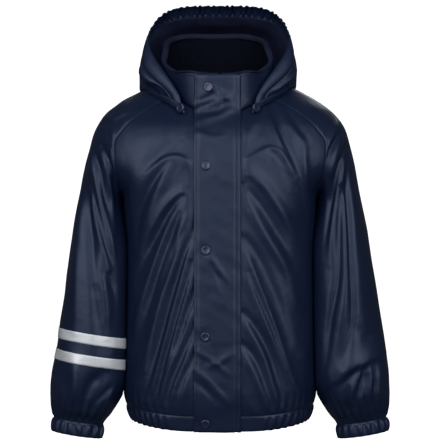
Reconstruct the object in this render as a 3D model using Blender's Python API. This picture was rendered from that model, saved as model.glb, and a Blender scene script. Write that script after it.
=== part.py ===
"""A child's hooded raincoat of coated cloth, filled out as if worn, with its raglan sleeves hanging down.

Run with blender --background --python part.py. Units are metres and +Z is up. The front faces -Y, so the
wearer's right is at -X. The origin is in the middle of the neck, level with the shoulders.

Each panel starts as a sheet of points on the garment's outer skin, worked out from the tables below. Sheets
that meet share the points of their seam. A sheet is drawn back from its seams by half the seam gap, then
extruded inwards by the thickness of its cloth.
"""

import math
from collections import namedtuple

import bmesh
import bpy
import numpy as np
from mathutils import Vector
from mathutils.bvhtree import BVHTree
from mathutils.kdtree import KDTree

CLOTH = 0.0016
COLLAR_THICKNESS = 0.0052  # its outer cloth, turned over and down inside
FLAP_CLOTH = 0.0022  # two layers
TAB_CLOTH = 0.0018
TAPE = 0.0010
SEAM_GAP = 0.0003
SHARPEST = 0.30  # the squared length of the mean normal at the sharpest corner that a seam can turn
LAID_ON = 0.0008  # between the panels' skin and a strip that lies over several of them

HEM_SEAM = -0.4400
HEM_EDGE = -0.4610
UNDERARM = -0.1470
UNDERARM_X = 0.1340
FOLD_TOP = -0.0760  # sleeve and trunk lie in one surface above this height, and part below it
ARM_GAP = 0.0022  # between a hanging sleeve and the trunk that it touches
CUFF_SEAM = -0.4530
CUFF_EDGE = -0.4720
ARM_TILT = math.radians(9.0)  # the sleeve's rings rise outwards
SQUARENESS = 2.6  # of the sections across trunk and shoulders; 2 would be an ellipse
HEM_SWEEP = 0.0095  # the hem's sides stand higher than its middles by this much
SWEEP_START = 0.038  # it is level nearer the middle, where the storm flap lies
SWEEP_TOP = -0.360  # the sweep begins at this height and is whole a reach below it
SWEEP_REACH = 0.080
HEM_EASE = 0.0003  # its casing starts this far below the panels, whose edge is in longer straight pieces
FRONT_NECK = -0.0280
BACK_NECK = 0.0280
FLAP_RIGHT_EDGE = -0.0350
FLAP_LEFT_EDGE = 0.0282

# The trunk below the arms.
Section = namedtuple("Section", "height half_width front_depth back_depth")
TRUNK = [
    Section(-0.461, 0.1240, 0.0945, 0.0860),
    Section(-0.440, 0.1308, 0.0985, 0.0890),
    Section(-0.425, 0.1342, 0.1020, 0.0930),
    Section(-0.405, 0.1352, 0.1045, 0.0960),
    Section(-0.360, 0.1348, 0.1060, 0.0985),
    Section(-0.300, 0.1335, 0.1070, 0.0990),
    Section(-0.220, 0.1325, 0.1070, 0.0985),
    Section(-0.147, 0.1340, 0.1060, 0.1000),
]
# Both shoulders, from the underarm to the neck.
YOKE = [
    Section(-0.147, 0.1970, 0.1060, 0.1000),
    Section(-0.105, 0.1900, 0.1045, 0.1020),
    Section(-0.075, 0.1820, 0.0990, 0.1010),
    Section(-0.050, 0.1745, 0.0880, 0.0980),
    Section(-0.025, 0.1580, 0.0660, 0.0915),
    Section(-0.007, 0.1330, 0.0450, 0.0835),
    Section(0.003, 0.1160, 0.0340, 0.0780),
    Section(0.012, 0.0980, 0.0250, 0.0720),
    Section(0.021, 0.0780, 0.0160, 0.0650),
    Section(0.028, 0.0620, 0.0080, 0.0580),
]
# The raglan seams from the underarm (0) to the neck (1), with the height of the shoulder's ridge between them.
Raglan = namedtuple("Raglan", "share front_height front_x ridge_height back_height back_x")
RAGLAN = [
    Raglan(0.00, -0.147, 0.1340, -0.137, -0.147, 0.1340),
    Raglan(0.15, -0.121, 0.1400, -0.105, -0.119, 0.1405),
    Raglan(0.30, -0.096, 0.1440, -0.076, -0.093, 0.1440),
    Raglan(0.45, -0.071, 0.1445, -0.050, -0.067, 0.1430),
    Raglan(0.60, -0.049, 0.1310, -0.031, -0.040, 0.1310),
    Raglan(0.75, -0.029, 0.1090, -0.012, -0.015, 0.1070),
    Raglan(0.88, -0.014, 0.0850, 0.006, 0.006, 0.0800),
    Raglan(1.00, -0.004, 0.0620, 0.021, 0.022, 0.0560),
]
# Rings of the left sleeve, by the height of their centre. A ring is pushed out where it would enter the trunk.
Ring = namedtuple("Ring", "height centre_x centre_y half_width half_depth")
SLEEVE = [
    Ring(-0.472, 0.1990, -0.0200, 0.0360, 0.0290),
    Ring(-0.453, 0.1965, -0.0200, 0.0350, 0.0290),
    Ring(-0.436, 0.1918, -0.0200, 0.0418, 0.0410),
    Ring(-0.414, 0.1860, -0.0210, 0.0490, 0.0500),
    Ring(-0.388, 0.1793, -0.0210, 0.0542, 0.0530),
    Ring(-0.355, 0.1755, -0.0210, 0.0525, 0.0545),
    Ring(-0.312, 0.1725, -0.0200, 0.0500, 0.0560),
    Ring(-0.260, 0.1690, -0.0180, 0.0465, 0.0580),
    Ring(-0.200, 0.1640, -0.0120, 0.0415, 0.0600),
    Ring(-0.142, 0.1648, 0.0000, 0.0308, 0.0620),
]
BAND_EDGES = (-0.3738, -0.3597, -0.3448, -0.3307)  # ring heights of the two reflective bands' edges
# The collar, from the middle of the front (0) round the side (0.5) to the middle of the back (1).
Stand = namedtuple("Stand", "place rise lean")
COLLAR = [
    Stand(0.00, 0.054, 0.002),
    Stand(0.16, 0.052, 0.002),
    Stand(0.33, 0.038, 0.001),
    Stand(0.42, 0.0375, -0.002),
    Stand(0.50, 0.048, -0.003),
    Stand(0.58, 0.0595, -0.001),
    Stand(0.67, 0.0655, 0.002),
    Stand(0.84, 0.0645, 0.004),
    Stand(1.00, 0.0630, 0.004),
]
COLLAR_OPENING = 0.003  # share of the way round that the front edges stay from the middle
COLLAR_RIM = 0.0070  # the outer cloth turns over the collar's edge this far
COLLAR_LEAN = -0.110  # its sides and back lean to the wearer's right, by this share of their height
# Arches of the hood, from its face edge (0) over the crown and down behind to the back of the neck (1).
# A corner of 2 is an ellipse and more is squarer. A foot stands just clear of the shoulder below it.
Arch = namedtuple("Arch", "place foot_x foot_y top_y top_z half_width corner flare shift")
HOOD = [
    Arch(0.00, 0.0475, -0.070, 0.046, 0.1305, 0.1050, 4.3, 0.75, -0.0025),
    Arch(0.09, 0.0600, -0.059, 0.059, 0.1150, 0.1080, 4.0, 0.50, -0.0030),
    Arch(0.18, 0.0740, -0.046, 0.077, 0.1080, 0.1110, 3.7, 0.36, -0.0030),
    Arch(0.30, 0.0930, -0.027, 0.102, 0.1030, 0.1120, 3.3, 0.32, -0.0030),
    Arch(0.46, 0.1100, 0.005, 0.132, 0.0910, 0.1120, 2.9, 0.24, -0.0030),
    Arch(0.60, 0.1080, 0.034, 0.156, 0.0650, 0.1090, 2.7, 0.20, -0.0030),
    Arch(0.73, 0.0980, 0.058, 0.163, 0.0300, 0.1010, 2.6, 0.14, -0.0030),
    Arch(0.84, 0.0840, 0.071, 0.150, 0.0000, 0.0900, 2.5, 0.30, 0.0000),
    Arch(0.93, 0.0690, 0.075, 0.118, -0.0060, 0.0740, 2.4, 0.35, 0.0000),
    Arch(1.00, 0.0600, 0.066, 0.066, 0.0300, 0.0620, 2.2, 0.30, 0.0000),
]
HOOD_CLEARANCE = 0.0030
CASING_SHARE = 0.085  # share of the hood's length that the elastic casing takes
CROWN_HALF_WIDTH = 0.036
TAB_WIDTH = 0.014
TAB_END = -0.030  # the tab runs past the face edge, as a place among the arches
TAB_ROWS = 3  # it runs up the hood to this row of the side panel, and is as wide as its first column
TAB_END_FLAT = 0.0012  # a round end begins this far in
# The largest folds, as lines in the front or back view: from, to, how far they spread and how high they stand.
Fold = namedtuple("Fold", "from_x from_height to_x to_height spread rise")
FRONT_FOLDS = [
    Fold(-0.0740, -0.094, -0.110, -0.205, 0.012, 0.0065),
    Fold(-0.0520, -0.136, -0.108, -0.221, 0.011, 0.0065),
    Fold(-0.0400, -0.160, -0.098, -0.296, 0.012, 0.0072),
    Fold(-0.0400, -0.248, -0.108, -0.405, 0.012, 0.0072),
    Fold(-0.0400, -0.290, -0.083, -0.385, 0.010, 0.0051),
    Fold(0.0645, -0.085, 0.102, -0.198, 0.015, 0.0072),
    Fold(0.0340, -0.148, 0.107, -0.284, 0.014, 0.0080),
    Fold(0.0645, -0.236, 0.104, -0.288, 0.011, 0.0051),
    Fold(0.0380, -0.278, 0.110, -0.412, 0.013, 0.0065),
]
BACK_FOLDS = [
    Fold(-0.0850, -0.100, -0.030, -0.250, 0.016, 0.0065),
    Fold(0.0900, -0.110, 0.045, -0.265, 0.016, 0.0065),
    Fold(-0.0980, -0.210, -0.052, -0.380, 0.014, 0.0065),
    Fold(0.0920, -0.240, 0.060, -0.400, 0.014, 0.0065),
    Fold(-0.0200, -0.270, -0.012, -0.420, 0.013, 0.0058),
    Fold(0.0220, -0.300, 0.028, -0.425, 0.013, 0.0058),
]
SLEEVE_FOLDS = [
    Fold(0.1700, -0.110, 0.152, -0.250, 0.010, 0.0043),
    Fold(0.1880, -0.130, 0.168, -0.255, 0.010, 0.0043),
    Fold(0.1960, -0.215, 0.203, -0.320, 0.011, 0.0043),
    Fold(0.1900, -0.385, 0.176, -0.435, 0.010, 0.0043),
]
# The fastened snaps, at their height on the storm flap.
Snap = namedtuple("Snap", "x height")
FLAP_SNAPS = [
    Snap(-0.0155, 0.006),
    Snap(-0.0190, -0.102),
    Snap(-0.0190, -0.216),
    Snap(-0.0198, -0.332),
    Snap(-0.0198, -0.450),
]
SNAP_RADIUS = 0.0068
SNAP_HEIGHT = 0.0028
SNAP_SIDES = 12

# How far the gathers at each elastic stand out and in, and how far up they run into the panels.
HEM_GATHER = 0.0018
CUFF_GATHER = 0.0015
RUFFLE = 0.0016
TRUNK_GATHER = 0.0020
TRUNK_GATHER_REACH = 0.050
SLEEVE_GATHER = 0.0022
SLEEVE_GATHER_REACH = 0.045

FRONT_COLUMNS, TRUNK_ROWS, RAGLAN_ROWS = 14, 10, 10
SLEEVE_COLUMNS, SLEEVE_ROWS = 20, 5
HEM_WAVES, CUFF_WAVES = 58, 18
SIDE_COLUMNS, CROWN_COLUMNS, HOOD_ROWS = 14, 8, 10

NAVY = (0.0130, 0.0190, 0.0420)
LINING_NAVY = (0.0085, 0.0100, 0.0230)
SILVER = (0.5600, 0.5700, 0.6000)
SNAP_NAVY = (0.0250, 0.0330, 0.0600)


# Reading the tables


def read(table, column, at, key="height"):
    """A column's value at a place in a table, on a smooth curve that never overshoots the rows."""
    places = np.array([getattr(row, key) for row in table])
    values = np.array([getattr(row, column) for row in table])
    at = np.clip(at, places[0], places[-1])
    steps = np.diff(places)
    slopes = np.diff(values) / steps
    product, total = slopes[:-1] * slopes[1:], slopes[:-1] + slopes[1:]
    inner = np.where(product > 0, 2 * product / np.where(product > 0, total, 1.0), 0.0)
    tangents = np.concatenate([slopes[:1], inner, slopes[-1:]])
    i = np.clip(np.searchsorted(places, at) - 1, 0, len(places) - 2)
    t = (at - places[i]) / steps[i]
    straight = values[i] + (values[i + 1] - values[i]) * t * t * (3 - 2 * t)
    return straight + steps[i] * t * (1 - t) * (tangents[i] * (1 - t) - tangents[i + 1] * t)


def eased(share):
    """0 before 0, 1 after 1, and smooth between."""
    share = np.clip(share, 0, 1)
    return share * share * (3 - 2 * share)


def across(angle, half_width, depth):
    """x and depth of a rounded section, at an angle from its side (0) to its middle (a right angle)."""
    power = 2 / SQUARENESS
    return half_width * np.cos(angle) ** power, depth * np.sin(angle) ** power


def share_left(share):
    """How wide a rounded section still is where its other way is used up by a share."""
    return (1 - np.clip(share, 0, 0.9999) ** SQUARENESS) ** (1 / SQUARENESS)


def angle_at(x, half_width):
    return np.arccos(np.clip(x / half_width, 0, 1) ** (SQUARENESS / 2))


# The garment's skin. Points are arrays whose last axis is x, y, z. Rows run up and columns run anticlockwise
# seen from above, so that a sheet's normals point out of the garment.


def apart(height):
    """How far sleeve and trunk have parted: 0 above the fold and 1 at the underarm, which is round like a U."""
    share = np.clip((height - UNDERARM) / (FOLD_TOP - UNDERARM), 0, 1)
    return 1 - np.sqrt(share * (2 - share))


def raglan_seam(height, face):
    """x and depth of the raglan seam of the front or the back at a height."""
    x = read(RAGLAN, face + "_x", height, key=face + "_height")
    depth = read(YOKE, face + "_depth", height) * share_left(x / read(YOKE, "half_width", height))
    return x + (UNDERARM_X - x) * apart(height), depth * (1 - apart(height))


def swept(x, height):
    """How far the trunk's lower edge rises towards its sides."""
    aside = np.clip((np.abs(x) - SWEEP_START) / (TRUNK[0].half_width - SWEEP_START), 0, 1)
    return HEM_SWEEP * aside**2 * eased((SWEEP_TOP - height) / SWEEP_REACH)


def trunk_width(height, face):
    """Half width of the rounded section that passes through the trunk's seam at a height."""
    seam_x, seam_depth = raglan_seam(height, face)
    above = seam_x / share_left(seam_depth / read(YOKE, face + "_depth", height))
    return np.where(height <= UNDERARM, read(TRUNK, "half_width", height), above)


def trunk_points(u, height, edge, face):
    """The left half of the trunk, from its middle (u of 0) to the side or raglan seam (1).

    Its row meets the seam at the edge height."""
    below = height <= UNDERARM
    depth = np.where(below, read(TRUNK, face + "_depth", height), read(YOKE, face + "_depth", height))
    seam_angle = np.where(edge <= UNDERARM, 0.0, angle_at(raglan_seam(edge, face)[0], trunk_width(edge, face)))
    x = across((math.pi / 2 - seam_angle) * (1 - u) + seam_angle, trunk_width(edge, face), 0)[0]
    x = np.where(u == 0, 0.0, x)
    y = across(angle_at(x, trunk_width(height, face)), 0, depth)[1]
    return np.stack([x, y if face == "back" else -y, height + swept(x, height)], axis=-1)


def neck_height(u, face):
    """Height of the neck seam on the front or back, from the middle (0) to the raglan seam (1)."""
    middle = {"front": FRONT_NECK, "back": BACK_NECK}[face]
    return middle + (getattr(RAGLAN[-1], face + "_height") - middle) * u**2


def trunk_half(face):
    """Rows that are level up to the underarm and then fan out between the raglan seam and the neck."""
    u = np.linspace(0, 1, FRONT_COLUMNS + 1)
    level = np.linspace(HEM_SEAM, UNDERARM, TRUNK_ROWS + 1)[:-1]
    up = np.arange(RAGLAN_ROWS + 1)[:, None] / RAGLAN_ROWS
    edge = read(RAGLAN, face + "_height", up**2, key="share")
    middle = UNDERARM + (neck_height(0, face) - UNDERARM) * up**1.3
    fan = middle + (edge - middle) * u**2
    heights = np.concatenate([level[:, None] + 0 * u, fan])
    edges = np.concatenate([level[:, None], edge])
    return trunk_points(*np.broadcast_arrays(u, heights, edges), face)


def trunk_outside(y, height):
    """x of the trunk's skin where it stands at y."""
    height = height - swept(TRUNK[0].half_width, height)
    depth = np.where(y < 0, read(TRUNK, "front_depth", height), read(TRUNK, "back_depth", height))
    return read(TRUNK, "half_width", height) * share_left(np.abs(y) / depth)


def ring_points(psi, height):
    """Rings of the left sleeve: psi runs from underneath (-1) round the front and the outside (0) to 1."""
    angle = math.pi * np.abs(psi)
    half_width = read(SLEEVE, "half_width", height)
    y = read(SLEEVE, "centre_y", height) + np.sign(psi) * read(SLEEVE, "half_depth", height) * np.sin(angle)
    z = height + half_width * np.cos(angle) * math.tan(ARM_TILT)
    x = read(SLEEVE, "centre_x", height) + half_width * np.cos(angle)
    touching = eased((UNDERARM + 0.004 - height) / 0.020) * eased((height - HEM_SEAM + 0.008) / 0.008)
    return np.stack([np.maximum(x, (trunk_outside(y, z) + ARM_GAP) * touching), y, z], axis=-1)


def shoulder_points(psi, share):
    """The left sleeve above the underarm: arcs from the front seam (psi of -1) over the ridge to the back (1)."""
    ridge = read(RAGLAN, "ridge_height", share, key="share")
    outside = read(YOKE, "half_width", ridge)
    faces = {}
    for face, sign in (("front", -1), ("back", 1)):
        edge = read(RAGLAN, face + "_height", share, key="share")
        parted = apart(edge)
        seam_x, seam_depth = raglan_seam(edge, face)
        height = ridge + (edge - ridge) * psi**2
        table_x = read(RAGLAN, face + "_x", edge, key=face + "_height")
        turn = angle_at(table_x, read(YOKE, "half_width", edge)) * np.abs(psi)
        x, y = across(turn, read(YOKE, "half_width", height), read(YOKE, face + "_depth", height))
        x += (seam_x - table_x) * psi**2
        on_shoulder = np.stack([x, sign * y * (1 - parted * psi**6), height], axis=-1)
        half_depth = np.maximum(SLEEVE[-1].half_depth, seam_depth)
        last = math.pi - np.arcsin(np.clip(seam_depth / half_depth, 0, 1))
        turned = (1 - np.cos(last * np.abs(psi))) / (1 - np.cos(last))
        hanging = np.stack(
            [
                outside + (seam_x - outside) * turned,
                sign * half_depth * np.sin(last * np.abs(psi)),
                ridge + (edge - ridge) * turned,
            ],
            axis=-1,
        )
        faces[face] = on_shoulder + (hanging - on_shoulder) * parted[..., None]
    return np.where((psi < 0)[..., None], faces["front"], faces["back"])


def sleeve_heights():
    """Ring heights from the cuff to the underarm, with one at each edge of the reflective bands."""
    lower = np.linspace(CUFF_SEAM, BAND_EDGES[0], SLEEVE_ROWS + 1)[:-1]
    upper = np.linspace(BAND_EDGES[-1], SLEEVE[-1].height, SLEEVE_ROWS + 1)[1:-1]
    return np.concatenate([lower, BAND_EDGES, upper])


def sleeve_skin():
    psi = np.linspace(-1, 1, SLEEVE_COLUMNS + 1)
    heights = sleeve_heights()
    share = (np.arange(RAGLAN_ROWS + 1) / RAGLAN_ROWS) ** 2
    tube = ring_points(*np.broadcast_arrays(psi, heights[:, None]))
    return np.concatenate([tube, shoulder_points(*np.broadcast_arrays(psi, share[:, None]))])


def neck_points(place):
    """The neck seam: 0 is the middle of the front, 1/3 and 2/3 the raglan seams, 1 the middle of the back."""
    front, back = np.clip(3 * place, 0, 1), np.clip(3 - 3 * place, 0, 1)
    on_front = trunk_points(front, neck_height(front, "front"), neck_height(1, "front") + 0 * front, "front")
    on_back = trunk_points(back, neck_height(back, "back"), neck_height(1, "back") + 0 * back, "back")
    on_sleeve = shoulder_points(np.clip(6 * place - 3, -1, 1), np.ones_like(place))
    return np.where((place < 1 / 3)[..., None], on_front, np.where((place > 2 / 3)[..., None], on_back, on_sleeve))


def mirrored(points):
    """The same sheet on the other side, with its columns turned round so that it still faces outwards."""
    return points[:, ::-1] * (-1, 1, 1)


def collar_sheet(rows):
    """The collar from its left front edge round the back: each row is at a share of its height, less a drop, and
    moved in towards the neck by an inset."""
    place = np.concatenate([
        np.linspace(0, 1, FRONT_COLUMNS // 2 + 1)[:-1] / 3,
        1 / 3 + np.linspace(0, 1, SLEEVE_COLUMNS // 2 + 1)[:-1] / 3,
        2 / 3 + np.linspace(0, 1, FRONT_COLUMNS // 2 + 1) / 3,
    ])
    place[0] = COLLAR_OPENING
    share, drop, inset = (np.array(values)[:, None] for values in zip(*rows))
    rise = read(COLLAR, "rise", place, key="place")
    up = 2 * SEAM_GAP + (rise - 2 * SEAM_GAP) * share - drop
    base = neck_points(place)
    away = base * (1, 1, 0) / np.linalg.norm(base[:, :2], axis=-1, keepdims=True)
    left = base + away * (read(COLLAR, "lean", place, key="place") * up / rise)[..., None]
    left[..., 2] += up
    sheet = np.concatenate([left, mirrored(left)[:, 1:]], axis=1)
    aside = COLLAR_LEAN * up * eased(place / 0.4)
    sheet[..., 0] += np.concatenate([aside, aside[:, -2::-1]], axis=1)
    along = np.gradient(sheet, axis=1)
    outward = np.stack([along[..., 1], -along[..., 0], 0 * inset + 0 * along[..., 0]], axis=-1)
    return sheet - outward / np.linalg.norm(outward, axis=-1, keepdims=True) * inset[..., None]


def hood_arch(place, seams, shoulders):
    """An arch of the hood at places among its seams: its feet are 0 and 3, and the crown lies from 1 to 2."""
    row = {name: float(read(HOOD, name, place, key="place")) for name in Arch._fields[1:]}
    angle = np.linspace(0, math.pi / 2, 60)
    up, out = np.sin(angle) ** (2 / row["corner"]), np.cos(angle) ** (2 / row["corner"])
    halves = []
    for side in (-1, 1):
        foot_x = row["foot_x"] + side * row["shift"]
        ground = shoulders.ray_cast(Vector((foot_x, row["foot_y"], 0.1)), Vector((0, 0, -1)))[0].z
        foot_z = ground + HOOD_CLEARANCE
        x = row["foot_x"] + (row["half_width"] * out - row["foot_x"]) * eased(up / row["flare"])
        x = side * x + row["shift"] * (1 - up**3)
        y = row["foot_y"] + (row["top_y"] - row["foot_y"]) * up**1.5
        halves.append(np.stack([x, y, foot_z + (row["top_z"] - foot_z) * up], axis=-1))
    line = np.concatenate([halves[0], halves[1][-2::-1]])
    along = np.concatenate([[0], np.cumsum(np.linalg.norm(np.diff(line, axis=0), axis=1))])
    crown = CROWN_HALF_WIDTH / along[-1]
    wanted = np.interp(seams, [0, 1, 2, 3], [0, 0.5 - crown, 0.5 + crown, 1]) * along[-1]
    return np.stack([np.interp(wanted, along, line[:, k]) for k in range(3)], axis=-1)


def hood_sheet(seams, places, shoulders):
    return np.stack([hood_arch(place, seams, shoulders) for place in places])


def hem_skin():
    """The hem casing, from the middle of the front round the left side and back to the front."""
    angle = np.linspace(-math.pi / 2, math.pi * 3 / 2, 2 * HEM_WAVES + 1)
    height = np.linspace(HEM_EDGE, HEM_SEAM - HEM_EASE, 3)[:, None]
    depth = np.where(np.sin(angle) < 0, read(TRUNK, "front_depth", height), read(TRUNK, "back_depth", height))
    x, y = across(np.arcsin(np.abs(np.sin(angle))), read(TRUNK, "half_width", height), depth)
    x, y = x * np.sign(np.cos(angle)), y * np.sign(np.sin(angle))
    x[:, [0, -1]] = 0
    return np.stack([x, y, height + swept(x, height)], axis=-1)


def cuff_skin():
    psi = np.linspace(-1, 1, 2 * CUFF_WAVES + 1)
    return ring_points(*np.broadcast_arrays(psi, np.linspace(CUFF_EDGE, CUFF_SEAM, 3)[:, None]))


# Folds and gathers, as moves along the skin's normals


def fold_lift(x, height, folds):
    lift = 0 * x
    for fold in folds:
        run = np.array([fold.to_x - fold.from_x, fold.to_height - fold.from_height])
        offset = np.stack([x - fold.from_x, height - fold.from_height], axis=-1)
        share = np.clip(offset @ run / (run @ run), 0, 1)
        away = np.linalg.norm(offset - share[..., None] * run, axis=-1) / fold.spread
        lift += fold.rise * np.exp(-(away**2)) * np.sin(math.pi * (0.1 + 0.8 * share))
    return lift


def beside_flap(points):
    """0 under the storm flap, where the cloth lies flat, and 1 clear of it. Only the front has the flap."""
    middle = (FLAP_LEFT_EDGE + FLAP_RIGHT_EDGE) / 2
    clear = eased((np.abs(points[..., 0] - middle) - (FLAP_LEFT_EDGE - middle) - 0.003) / 0.012)
    return np.where(points[..., 1] < 0, clear, 1.0)


def crests(points):
    """1 and -1 by turns from column to column."""
    return np.where(np.arange(points.shape[1]) % 2 == 0, 1.0, -1.0)[None, :]


def trunk_lift(points, folds):
    x, height = points[..., 0], points[..., 2]
    low = eased((HEM_SEAM + TRUNK_GATHER_REACH - height) / TRUNK_GATHER_REACH)
    gathers = TRUNK_GATHER * crests(points) * low
    clear_of_arm = eased((UNDERARM_X - 0.010 - np.abs(x)) / 0.020)
    return (fold_lift(x, height, folds) + gathers) * clear_of_arm * beside_flap(points)


def sleeve_lift(points):
    """Folds lie on the sleeve's front and back, and its cuff end is gathered just above the seam."""
    psi = np.abs(np.linspace(-1, 1, points.shape[1]))[None, :]
    facing = eased((psi - 0.08) / 0.12) * eased((0.78 - psi) / 0.12)
    gathered = np.zeros((points.shape[0], 1))
    above = sleeve_heights() - CUFF_SEAM
    gathered[: len(above), 0] = eased(above / 0.010) * eased((SLEEVE_GATHER_REACH - above) / 0.035)
    folds = fold_lift(points[..., 0], points[..., 2], SLEEVE_FOLDS) * facing
    return folds + SLEEVE_GATHER * crests(points) * gathered


def skin_offsets(sheets):
    """For each point the way out of the skin, long enough that a wall keeps its thickness round a corner.

    Points that coincide share one, so that both walls of a seam turn the same way, unless the skin turns back on
    itself there, as it does under the arm."""
    sums, counts = {}, {}
    corners = [(slice(0, -1), slice(0, -1)), (slice(0, -1), slice(1, None)),
               (slice(1, None), slice(1, None)), (slice(1, None), slice(0, -1))]
    for name, points in sheets.items():
        a, b, c, d = (points[rows, columns] for rows, columns in corners)
        face = np.cross(c - a, d - b)
        size = np.linalg.norm(face, axis=-1, keepdims=True)
        face = np.where(size > 1e-10, face / np.maximum(size, 1e-10), 0.0)
        sums[name], counts[name] = np.zeros_like(points), np.zeros(points.shape[:2])
        for rows, columns in corners:
            sums[name][rows, columns] += face
            counts[name][rows, columns] += np.linalg.norm(face, axis=-1) > 0.5
    every_point = np.concatenate([points.reshape(-1, 3) for points in sheets.values()])
    every_sum = np.concatenate([sums[name].reshape(-1, 3) for name in sheets])
    every_count = np.concatenate([counts[name].ravel() for name in sheets])
    tree = KDTree(len(every_point))
    for i, point in enumerate(every_point):
        tree.insert(point, i)
    tree.balance()
    starts = np.cumsum([0] + [points.shape[0] * points.shape[1] for points in sheets.values()])
    owner = np.searchsorted(starts, np.arange(len(every_point)), side="right")
    shared = np.empty_like(every_sum)
    for i, point in enumerate(every_point):
        near = np.array([j for _, j, _ in tree.find_range(point, 1e-5)])
        mean = every_sum[near].sum(axis=0) / max(every_count[near].sum(), 1)
        if mean @ mean < SHARPEST:
            near = near[owner[near] == owner[i]]
            mean = every_sum[near].sum(axis=0) / max(every_count[near].sum(), 1)
        shared[i] = mean / max(mean @ mean, SHARPEST)
    return {
        name: shared[start:stop].reshape(sheets[name].shape)
        for name, start, stop in zip(sheets, starts, starts[1:])
    }


def lifted(sheets, lifts):
    """Every sheet moved along its normals by its own lift."""
    offsets = skin_offsets(sheets)
    moved = {}
    for name, points in sheets.items():
        normals = offsets[name] / np.linalg.norm(offsets[name], axis=-1, keepdims=True)
        moved[name] = points + normals * lifts[name][..., None]
    return moved


# From sheets to solids


def draw_back(sheet, distance):
    """Moves a sheet's edge inwards along its surface, mitred at the corners."""
    moves = {}
    for vertex in sheet.verts:
        edges = [edge for edge in vertex.link_edges if edge.is_boundary]
        inward = []
        for edge in edges:
            along = (edge.other_vert(vertex).co - vertex.co).normalized()
            step = edge.link_faces[0].calc_center_median() - vertex.co
            step -= along * step.dot(along)
            inward.append(step.normalized())
        if inward:
            reach = max(1 + inward[0].dot(inward[-1]), SHARPEST)
            moves[vertex] = (inward[0] + inward[-1]) * (distance / reach)
    for vertex, move in moves.items():
        vertex.co += move


def plain_material(name, colour, roughness, metallic=0.0):
    made = bpy.data.materials.get(name) or bpy.data.materials.new(name)
    made.use_nodes = True
    shader = made.node_tree.nodes["Principled BSDF"]
    shader.inputs["Base Color"].default_value = (*colour, 1.0)
    shader.inputs["Roughness"].default_value = roughness
    shader.inputs["Metallic"].default_value = metallic
    return made


def finish(name, form, material):
    bmesh.ops.recalc_face_normals(form, faces=form.faces[:])
    mesh = bpy.data.meshes.new(name)
    form.to_mesh(mesh)
    form.free()
    mesh.materials.append(material)
    mesh.shade_smooth()
    mesh.set_sharp_from_angle(angle=math.radians(50))
    made = bpy.data.objects.new(name, mesh)
    bpy.context.scene.collection.objects.link(made)
    return made


def cloth_wall(name, points, offsets, thickness, material):
    """A piece of cloth: its sheet, drawn back at the edges and extruded inwards."""
    wall = bmesh.new()
    bmesh.ops.create_grid(wall, x_segments=points.shape[1] - 1, y_segments=points.shape[0] - 1, size=1)
    outward = wall.verts.layers.float_vector.new("outward")
    for vertex, point, offset in zip(wall.verts, points.reshape(-1, 3), offsets.reshape(-1, 3)):
        vertex.co = point
        vertex[outward] = offset
    bmesh.ops.remove_doubles(wall, verts=wall.verts[:], dist=1e-6)
    draw_back(wall, SEAM_GAP / 2)
    extruded = bmesh.ops.extrude_face_region(wall, geom=wall.faces[:])
    for vertex in (item for item in extruded["geom"] if isinstance(item, bmesh.types.BMVert)):
        vertex.co -= Vector(vertex[outward]) * thickness
    return finish(name, wall, material)


def surface_tree(sheets):
    """Sheets as one surface that a ray can find."""
    points, faces = [], []
    for sheet in sheets:
        first, columns = len(points), sheet.shape[1]
        points += [tuple(point) for point in sheet.reshape(-1, 3)]
        for row in range(sheet.shape[0] - 1):
            for column in range(columns - 1):
                corner = first + row * columns + column
                faces.append((corner, corner + 1, corner + columns + 1, corner + columns))
    return BVHTree.FromPolygons(points, faces)


def flap_sheet(middle_heights, fronts):
    """The storm flap's outer face, found from the cloth behind it and with the same rows."""
    tree = surface_tree(fronts)
    top = FRONT_NECK + COLLAR[0].rise - COLLAR_THICKNESS / 2
    heights = np.concatenate([[HEM_EDGE], middle_heights[:-1], np.linspace(FRONT_NECK + 0.004, top, 4)])
    columns = np.linspace(FLAP_RIGHT_EDGE, FLAP_LEFT_EDGE, 7)
    points = np.zeros((len(heights), len(columns), 3))
    for i, height in enumerate(heights):
        for j, x in enumerate(columns):
            start = Vector((x, -0.5, np.clip(height, HEM_EDGE + 1e-4, top - 1e-4)))
            points[i, j] = (x, tree.ray_cast(start, Vector((0, 1, 0)))[0].y, height)
    return points + skin_offsets({"flap": points})["flap"] * (LAID_ON + FLAP_CLOTH)


def tab_sheet(foot, shoulders):
    """A tab: a strip up one foot of the hood (seam 0 or 3), run past the face edge and rounded at its end."""
    upwards = np.linspace(foot, 1 if foot == 0 else 2, 2 * SIDE_COLUMNS + 1)
    past_edge = np.array([TAB_END, 0.6 * TAB_END, 0.2 * TAB_END])
    edge, behind_edge = (hood_arch(place, upwards, shoulders) for place in (0, 0.05))
    lines = [edge + (edge - behind_edge) * (-place / 0.05) for place in past_edge]
    lines += [hood_arch(place, upwards, shoulders) for place in np.linspace(0, CASING_SHARE, 3)[:-1]]
    for place in np.linspace(CASING_SHARE, 1, HOOD_ROWS + 1)[:TAB_ROWS]:
        lines.append(hood_arch(place, upwards, shoulders))
        lines[-1][1::2] = (lines[-1][:-1:2] + lines[-1][2::2]) / 2
    radius = TAB_WIDTH / 2
    columns, travelled = [], TAB_END_FLAT
    for line, before in zip(lines, [lines[0]] + lines):
        travelled += np.linalg.norm(line[0] - before[0])
        narrowing = radius - math.sqrt(radius**2 - max(radius - travelled, 0) ** 2)
        along = np.concatenate([[0], np.cumsum(np.linalg.norm(np.diff(line, axis=0), axis=1))])
        wanted = np.linspace(narrowing, along[2] - narrowing, 4)
        columns.append(np.stack([np.interp(wanted, along, line[:, k]) for k in range(3)], axis=-1))
    return np.stack(columns if foot == 3 else columns[::-1], axis=1)


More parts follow.
